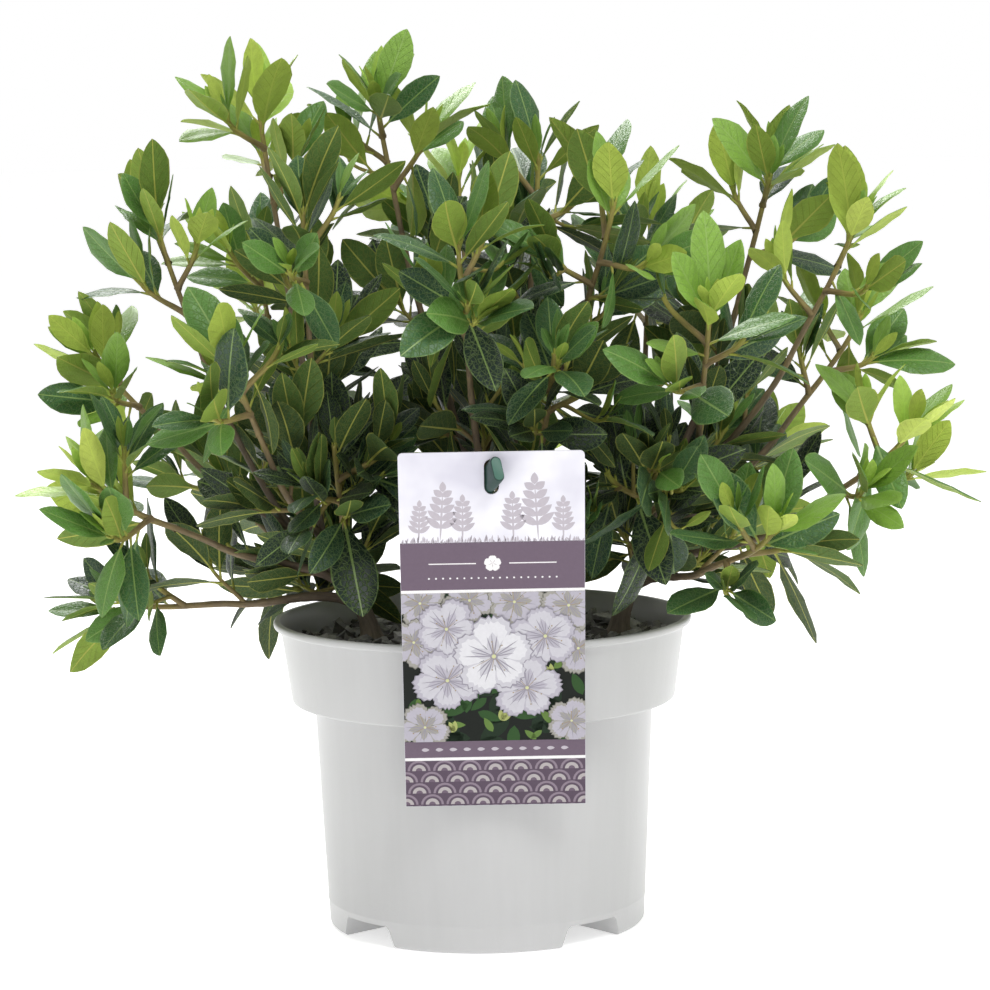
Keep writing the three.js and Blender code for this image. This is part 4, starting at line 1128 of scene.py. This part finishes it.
def make_chips(rng, waves):
    """Flat, broken pieces of bark that lie on the peat at all angles, off the stems."""
    box = np.array([[x, y, z] for z in (-1, 1) for y in (-1, 1) for x in (-1, 1)], float)
    faces = np.array([[0, 2, 3, 1], [4, 5, 7, 6], [0, 1, 5, 4], [2, 6, 7, 3], [0, 4, 6, 2], [1, 3, 7, 5]])
    points, quads, slots = [], [], []
    feet = np.array([foot for foot, _ in TRUNKS.values()], float)
    while len(points) < CHIPS["count"]:
        spot = CHIPS["reach"] * math.sqrt(rng.uniform()) * unit(rng.normal(0, 1, 2))
        size = np.array([rng.uniform(*ends) for ends in zip(CHIPS["low"], CHIPS["high"])])
        off_stems = np.linalg.norm(feet - spot, axis=1).min() >= CHIPS["off_stems"]
        if not off_stems or np.linalg.norm(spot) + size[0] > CHIPS["edge"]:
            continue
        shape = box * size * (1 + rng.uniform(-0.35, 0.35, box.shape))
        tilt = Matrix.Rotation(rng.normal(0, 0.35), 3, "X") @ Matrix.Rotation(rng.normal(0, 0.35), 3, "Y")
        turn = np.array(Matrix.Rotation(rng.uniform(0, 6.3), 3, "Z") @ tilt)
        lift = SOIL_TOP - 1.2 + rough_ground(*spot, waves) + size[2] * 0.3 + rng.uniform(0, 3)
        points.append(shape @ turn.T + [*spot, lift])
        quads.append(faces + 8 * len(quads))
        slots.append(np.full(6, rng.integers(0, len(CHIP_TONES))))
    materials = [
        soil_material(f"bark_chip_{i}", *(linear(*tone) for tone in tones))
        for i, tones in enumerate(CHIP_TONES)
    ]
    points, quads, slots = map(np.concatenate, (points, quads, slots))
    dress(make_piece("bark_chips", points, quads, materials, slots, smooth=False), "potting_soil")


make_soil()

# ---- label and stake


def stadium(width, length, height, steps=10):
    """A slot's outline with half-round ends, round a height on the label's middle line."""
    r, straight = width / 2, length / 2 - width / 2
    return arc((0, height + straight), r, 0, 180, steps) + arc((0, height - straight), r, 180, 360, steps)


def card_outline():
    w, top, r = LABEL["width"] / 2, LABEL["length"], LABEL["corner"]
    corners = [(-w, 0), (w, 0)]
    return corners + arc((w - r, top - r), r, 0, 90, 6) + arc((-w + r, top - r), r, 90, 180, 6)


def slab(outline, hole, depth):
    """An outline with a hole in it given some thickness, as points and faces."""
    curve = bpy.data.curves.new("outline", "CURVE")
    curve.dimensions, curve.fill_mode = "2D", "BOTH"
    for ring in (outline, hole):
        spline = curve.splines.new("POLY")
        spline.points.add(len(ring) - 1)
        spline.use_cyclic_u = True
        for point, (x, y) in zip(spline.points, ring):
            point.co = (x, y, 0, 1)
    shape = bpy.data.objects.new("outline", curve)
    mesh = bpy.data.meshes.new_from_object(shape)
    mesh.calc_loop_triangles()
    n = len(mesh.vertices)
    points = [(*v.co[:2], z) for z in (0, depth) for v in mesh.vertices]
    triangles = [tuple(t.vertices) for t in mesh.loop_triangles]
    bpy.data.objects.remove(shape)
    bpy.data.curves.remove(curve)
    bpy.data.meshes.remove(mesh)
    faces = [tuple(reversed(t)) for t in triangles] + [tuple(v + n for v in t) for t in triangles]
    edges = [edge for a, b, c in triangles for edge in ((a, b), (b, c), (c, a))]
    paired = set(edges)
    faces += [(a, b, b + n, a + n) for a, b in edges if (b, a) not in paired]
    return points, faces


def make_card():
    hole = stadium(LABEL["hole_width"], LABEL["hole_length"], HOLE_HEIGHT)
    points, faces = slab(card_outline(), hole, LABEL["thickness"])
    n = Nodes("label_card")
    cloud = n.noise(34.0, 3.0, 0.5)
    sky = n.ramp(cloud, [(0.35, linear(214, 212, 224)), (0.62, linear(240, 239, 246))])
    card = n.finish(sky, 0.5, Specular_IOR_Level=0.2)
    piece = make_piece("label_card", placed(points, LABEL_FRAME), faces, [card], smooth=False)
    dress(piece, "label_card", "label")


INKS = {
    "plum": (110, 95, 110),
    "deep_plum": (92, 78, 93),
    "pale_plum": (140, 126, 139),
    "motif": (189, 182, 190),
    "line": (240, 238, 238),
    "stone": (178, 171, 172),
    "night": (20, 25, 20),
    "leaf_deep": (26, 44, 27),
    "leaf": (46, 78, 38),
    "leaf_fresh": (96, 124, 60),
    "bud": (164, 172, 104),
    "petal": (198, 196, 203),
    "petal_lit": (218, 217, 221),
    "petal_dim": (180, 176, 187),
    "petal_shade": (148, 144, 155),
    "petal_back": (158, 155, 148),
    "petal_edge": (116, 114, 106),
    "heart": (204, 206, 158),
    "stamen": (158, 140, 112),
}
LAYER = 0.004  # the printed shapes lie this far above one another
EDGE = LABEL["width"] / 2 - 0.1
# Boxes of left, low, right and high edges: the whole print and its bands, from the foot up.
FACE = (-EDGE, 0.1, EDGE, LABEL["length"] - 0.1)
SCALLOPS = (-EDGE, 0.1, EDGE, 21.9)
LOW_LINE = (-EDGE, 21.9, EDGE, 23.3)
LEAF_BAND = (-EDGE, 23.3, EDGE, 31.0)
PICTURE = (-EDGE, 31.0, EDGE, 100.5)
HIGH_LINE = (-EDGE, 100.5, EDGE, 101.9)
FLOWER_BAND = (-EDGE, 101.9, EDGE, 123.6)


def clipped(shape, box):
    """A shape's outline cut to a box of left, low, right and high edges."""
    left, low, right, high = box
    for axis, limit, sign in ((0, left, 1), (1, low, 1), (0, right, -1), (1, high, -1)):
        kept = []
        for a, b in zip(shape, shape[1:] + shape[:1]):
            inside_a, inside_b = (a[axis] - limit) * sign >= 0, (b[axis] - limit) * sign >= 0
            if inside_a:
                kept.append(a)
            if inside_a != inside_b:
                share = (limit - a[axis]) / (b[axis] - a[axis])
                kept.append((lerp(a[0], b[0], share), lerp(a[1], b[1], share)))
        shape = kept
        if len(shape) < 3:
            return []
    return shape


def moved(shape, at, turn, size):
    c, s = math.cos(turn) * size, math.sin(turn) * size
    return [(at[0] + x * c - y * s, at[1] + x * s + y * c) for x, y in shape]


class Print:
    """The label's printed design, as flat shapes of plain inks that lie in layers on the card."""

    def __init__(self):
        self.points, self.faces, self.slots = [], [], []
        self.box = FACE

    def add(self, shape, ink, layer, at=(0, 0), turn=0.0, size=1.0):
        """Adds a shape, moved to its place and cut to the box that is set at the time."""
        shape = clipped(moved(shape, at, turn, size), self.box)
        if shape:
            z = LABEL["thickness"] + LAYER * layer
            self.faces.append(tuple(range(len(self.points), len(self.points) + len(shape))))
            self.points += [(x, y, z) for x, y in shape]
            self.slots.append(list(INKS).index(ink))

    def bar(self, left, low, right, high, ink, layer):
        self.add([(left, low), (right, low), (right, high), (left, high)], ink, layer)


def mirrored(right):
    """A whole outline from its right half, whose first and last points are on the middle line."""
    return right + [(-x, y) for x, y in right[-2:0:-1]]


def blade(length, width, steps=7):
    """A leaf's outline, from its foot at the origin up +Y."""
    t = np.linspace(0, 1, steps)
    half = width / 2 * np.sin(math.pi * t**0.85) ** 0.8
    half[0] = half[-1] = 0
    return mirrored(list(zip(half, t * length)))


def petal(length, width):
    """A broad petal with a waved, notched edge, from its foot at the origin up +Y."""
    edge = [
        (0, 0), (0.1, 0.16), (0.24, 0.34), (0.4, 0.5), (0.5, 0.66), (0.44, 0.74), (0.46, 0.84), (0.34, 0.9),
        (0.27, 1.0), (0.14, 0.95), (0.06, 1.03), (0, 0.94),
    ]
    return mirrored([(x * width, y * length) for x, y in edge])


def disc(radius, steps=14):
    return arc((0, 0), radius, 0, 360 * (1 - 1 / steps), steps)


# The blossoms' places, sizes, turns, and how near each is.
BLOSSOMS = [
    ((-31, 96), 11, 0.3, 0), ((-10, 97), 11, 0.7, 0), ((9, 96), 12, 1.0, 0), ((32, 94), 12, 0.1, 0),
    ((-34, 78), 11, 0.9, 0), ((36, 74), 11, 0.4, 0), ((-30, 38), 11, 0.5, 0), ((33, 40), 10, 0.9, 0),
    ((-20, 84), 13, 0.8, 1), ((22, 80), 14, 0.2, 1), ((-20, 60), 14, 0.6, 1), ((14, 56), 14, 1.1, 1),
    ((0, 71), 17, 0.05, 2),
]
PETAL_LAYERS = 2  # how far each petal lies over the last
PETAL_INKS = (("petal_back", "petal_dim"), ("petal_dim", "petal"), ("petal", "petal_lit"))


def print_blossom(design, rng, layer, at, size, turn, near):
    """A blossom of five petals from a layer up, each petal over the last."""
    body, lit = PETAL_INKS[near]
    for i in range(5):
        way = turn + i * 2 * math.pi / 5
        length = size * rng.uniform(0.9, 1.08)
        whole = petal(length, length * 0.92)
        design.add(whole, "petal_shade" if near else "petal_edge", layer, at, way, 1.04)
        design.add(whole, body, layer + 1, at, way)
        design.add(whole, lit, layer + 2, at, way + 0.08, 0.88)
        design.add(blade(length * 0.62, length * 0.3), body, layer + 3, at, way)
        for aside in (-0.2, 0.04, 0.26):
            vein = blade(length * rng.uniform(0.5, 0.85), length * 0.035)
            design.add(vein, "petal_shade", layer + 4, at, way + aside)
        layer += PETAL_LAYERS
    design.add(disc(size * 0.1), "petal_shade", layer + 4, at)
    for i in range(5):
        way = turn + 0.5 + rng.normal(0, 0.3) + i * 2 * math.pi / 5
        length = size * rng.uniform(0.35, 0.6)
        design.add(blade(length, 0.26), "stamen", layer + 5, at, way)
        tip = (at[0] - math.sin(way) * length, at[1] + math.cos(way) * length)
        design.add(disc(0.34, 8), "stamen", layer + 5, tip)
    design.add(disc(size * 0.055), "heart", layer + 6, at)


def print_picture(design, rng):
    """White blossoms over dark leaves, drawn flat."""
    design.box = PICTURE
    design.bar(*PICTURE, "night", 2)
    for ink, count, size, layer in (("leaf_deep", 60, 15, 3), ("leaf", 42, 12, 4), ("leaf_fresh", 12, 8, 5)):
        for _ in range(count):
            at = rng.uniform(-38, 38), rng.uniform(28, 98)
            length = size * rng.uniform(0.7, 1.2)
            design.add(blade(length, length * 0.42), ink, layer, at, rng.uniform(0, 6.3))
    for _ in range(9):
        at, turn = (rng.uniform(-36, 36), rng.uniform(33, 92)), rng.normal(0, 0.5)
        for lean in (-0.5, 0, 0.5):
            design.add(blade(5.5, 2.4), "bud", 6, at, turn + lean)
    for i, blossom in enumerate(BLOSSOMS):
        print_blossom(design, rng, 7 + 5 * PETAL_LAYERS * i, *blossom)
    design.box = FACE


def print_sprigs(design, rng):
    """A row of plain sprigs and grass along the foot of the pale field."""
    foot = 123.4
    for x, height in ((-31, 17), (-22, 24), (-12.5, 19), (9, 20), (19.5, 27), (30, 18)):
        lean = rng.normal(0, 0.05)
        design.add(blade(height, 0.9), "motif", 2, (x, foot), lean)
        for i in range(5):
            share = 0.28 + 0.15 * i
            at = (x - math.sin(lean) * height * share, foot + math.cos(lean) * height * share)
            for side in (-1, 1):
                leaf = blade(height * (0.34 - 0.035 * i), height * 0.13)
                design.add(leaf, "motif", 3, at, lean + side * 0.95)
        tip = (x - math.sin(lean) * height, foot + height * 0.96)
        design.add(blade(height * 0.2, height * 0.12), "motif", 3, tip)
    for x in np.linspace(-38, 38, 96):
        grass = blade(rng.uniform(1.2, 4.2), 0.8, 4)
        design.add(grass, "motif", 2, (x, foot - 0.3), rng.normal(0, 0.3))


def print_flower_band(design):
    """A small flower between two lines, and a row of dots, on a plum band."""
    design.bar(*FLOWER_BAND, "plum", 2)
    design.bar(*HIGH_LINE, "line", 2)
    middle = 113.8
    for left, right in ((-27, -7), (7, 27)):
        design.bar(left, middle - 0.2, right, middle + 0.3, "line", 3)
    for i in range(5):
        design.add(petal(3.6, 3.4), "line", 3, (0, middle), i * 2 * math.pi / 5)
    for x in np.linspace(-27, 27, 19):
        design.add(disc(0.42, 10), "line", 3, (x, 107.2))


def print_leaf_band(design):
    """A row of small leaves on a plum band."""
    design.bar(*LEAF_BAND, "plum", 2)
    design.bar(*LOW_LINE, "line", 2)
    for x in np.linspace(-30, 30, 11):
        design.add(blade(3.4, 1.7), "motif", 3, (x - 1.7, 27.1), -math.pi / 2)


# A scallop's arches from the outermost in: the share of its radius, and the ink.
ARCHES = ((1.0, "deep_plum"), (0.9, "pale_plum"), (0.72, "deep_plum"), (0.54, "stone"), (0.26, "plum"))


def print_scallops(design):
    """Rows of nested arches across the foot of the card, each row over the one above it."""
    design.box = SCALLOPS
    design.bar(*SCALLOPS, "deep_plum", 2)
    radius, rise, rows = 5.5, 5.4, 6
    for row in reversed(range(rows)):
        for i in range(-8, 9):
            at = (i * 2 * radius + (row % 2) * radius, row * rise - 4.5)
            for k, (share, ink) in enumerate(ARCHES):
                layer = 3 + (rows - 1 - row) * len(ARCHES) + k
                design.add(arc((0, 0), radius * share, 0, 180, 13), ink, layer, at)
    design.box = FACE


def ink_material(name, tone):
    n = Nodes(f"ink_{name}")
    grain = n.noise(700.0, 2.0)
    return n.finish(n.mix(grain, *either_side(tone, 0.93, 1.07)), 0.5, Specular_IOR_Level=0.2)


def make_print():
    rng = np.random.default_rng(5)
    design = Print()
    print_flower_band(design)
    print_sprigs(design, rng)
    print_picture(design, rng)
    print_leaf_band(design)
    print_scallops(design)
    inks = [ink_material(name, linear(*colour)) for name, colour in INKS.items()]
    points = placed(design.points, LABEL_FRAME)
    dress(make_piece("label_print", points, design.faces, inks, design.slots, smooth=False), "label_card")


def make_stake():
    """The stake's post, and its end that slants out through the label's hole."""
    side = plastic("stake_green", linear(22, 58, 50), 0.4, 0.08)
    # The end face is a lighter copy of the stake's green plastic: a painted highlight where the light
    # catches it.
    end = plastic("stake_green_painted_lit_end", linear(70, 110, 96), 0.5, 0.06)
    section = stadium(STAKE["width"], STAKE["length"], 0, 12)
    nose = STAKE["nose"]
    levels = ((-STAKE["arm"], 1.0), (nose - 0.6, 1.0), (nose - 0.25, 0.97), (nose, 0.88))
    arm, arm_faces = loft(
        [placed([(x * share, y * share, z) for x, y in section], ARM_FRAME) for z, share in levels]
    )
    # The post is a bar with its edges taken off.
    half, bevel = STAKE["post"] / 2, 0.6
    bar = [(half, bevel - half), (half, half - bevel), (half - bevel, half), (bevel - half, half)]
    bar += [(-x, -y) for x, y in bar]
    way = unit(STAKE_BEND - STAKE_FOOT)
    _, _, across, over = cross_frame(STAKE_FOOT, way)
    ends = (STAKE_FOOT - way * 4, STAKE_BEND + way * 2)
    post, post_faces = loft([[spot + across * x + over * y for x, y in bar] for spot in ends])
    faces = arm_faces + [face + len(arm) for face in post_faces]
    slots = [0] * len(faces)
    # The end face takes the painted highlight.
    slots[len(arm_faces) - 1] = 1
    stake = make_piece("stake_moulded", np.concatenate([arm, post]), faces, [side, end], slots)
    stake.data.set_sharp_from_angle(angle=math.radians(40))
    dress(stake, "stake_plastic", "label_stake")


make_card()
make_print()
make_stake()

# ---- floor, light and camera


def make_floor():
    n = Nodes("pale_floor")
    pale = n.mix(n.noise(3.0, 2.0), linear(252, 252, 252), linear(255, 255, 255))
    paper = n.finish(pale, 0.8, Emission_Color=(1, 1, 1, 1), Emission_Strength=0.41)
    ring = [(x, y, -0.05) for x, y in arc((0, 0), 30000, 0, 352.5, 48)]
    floor = make_piece("floor", ring, [range(48)], [paper], smooth=False)


def area_light(name, place, aim, size, power):
    light = bpy.data.lights.new(name, "AREA")
    light.shape, light.size, light.energy = "DISK", size, power
    lamp = bpy.data.objects.new(name, light)
    lamp.location = place
    lamp.rotation_mode = "QUATERNION"
    lamp.rotation_quaternion = (Vector(aim) - Vector(place)).to_track_quat("-Z", "Y")
    bpy.context.scene.collection.objects.link(lamp)


def make_light():
    world = bpy.data.worlds.new("studio")
    world.use_nodes = True
    nodes, links = world.node_tree.nodes, world.node_tree.links
    background = nodes["Background"]
    background.inputs["Color"].default_value = (1, 1, 1, 1)
    # The camera sees the white paper brighter than it lights the shrub.
    seen = nodes.new("ShaderNodeLightPath").outputs["Is Camera Ray"]
    strength = nodes.new("ShaderNodeMapRange")
    strength.inputs["To Min"].default_value, strength.inputs["To Max"].default_value = 0.6, 1.0
    links.new(seen, strength.inputs["Value"])
    links.new(strength.outputs["Result"], background.inputs["Strength"])
    bpy.context.scene.world = world
    area_light("key", (0.7, -1.0, 2.0), (0, 0, 0.2), 0.9, 21)
    area_light("back", (-0.4, 1.2, 1.4), (0, 0, 0.3), 0.9, 20)
    bpy.context.scene.view_settings.view_transform = "Standard"


CAMERA = dict(place=(0, -1521.4, 361.7), pitch=0.1093, yaw=0.0044, roll=-0.0167, focal=3373.8, frame=990)


def make_camera():
    """A camera fitted to the pot's rim, collar and base."""
    pitch, yaw, roll = CAMERA["pitch"], CAMERA["yaw"], CAMERA["roll"]
    ahead = np.array([math.sin(yaw) * math.cos(pitch), math.cos(yaw) * math.cos(pitch), -math.sin(pitch)])
    right = np.array([math.cos(yaw), -math.sin(yaw), 0])
    up = np.cross(right, ahead)
    turned_right = right * math.cos(roll) + up * math.sin(roll)
    turned_up = up * math.cos(roll) - right * math.sin(roll)
    data = bpy.data.cameras.new("camera")
    data.lens = CAMERA["focal"] / CAMERA["frame"] * data.sensor_width
    data.clip_end = 100
    camera = bpy.data.objects.new("camera", data)
    columns = np.stack([turned_right, turned_up, -ahead, np.array(CAMERA["place"]) * MM], 1)
    camera.matrix_world = Matrix([*columns.tolist(), [0, 0, 0, 1]])
    bpy.context.scene.collection.objects.link(camera)
    bpy.context.scene.camera = camera


make_floor()
make_light()
make_camera()
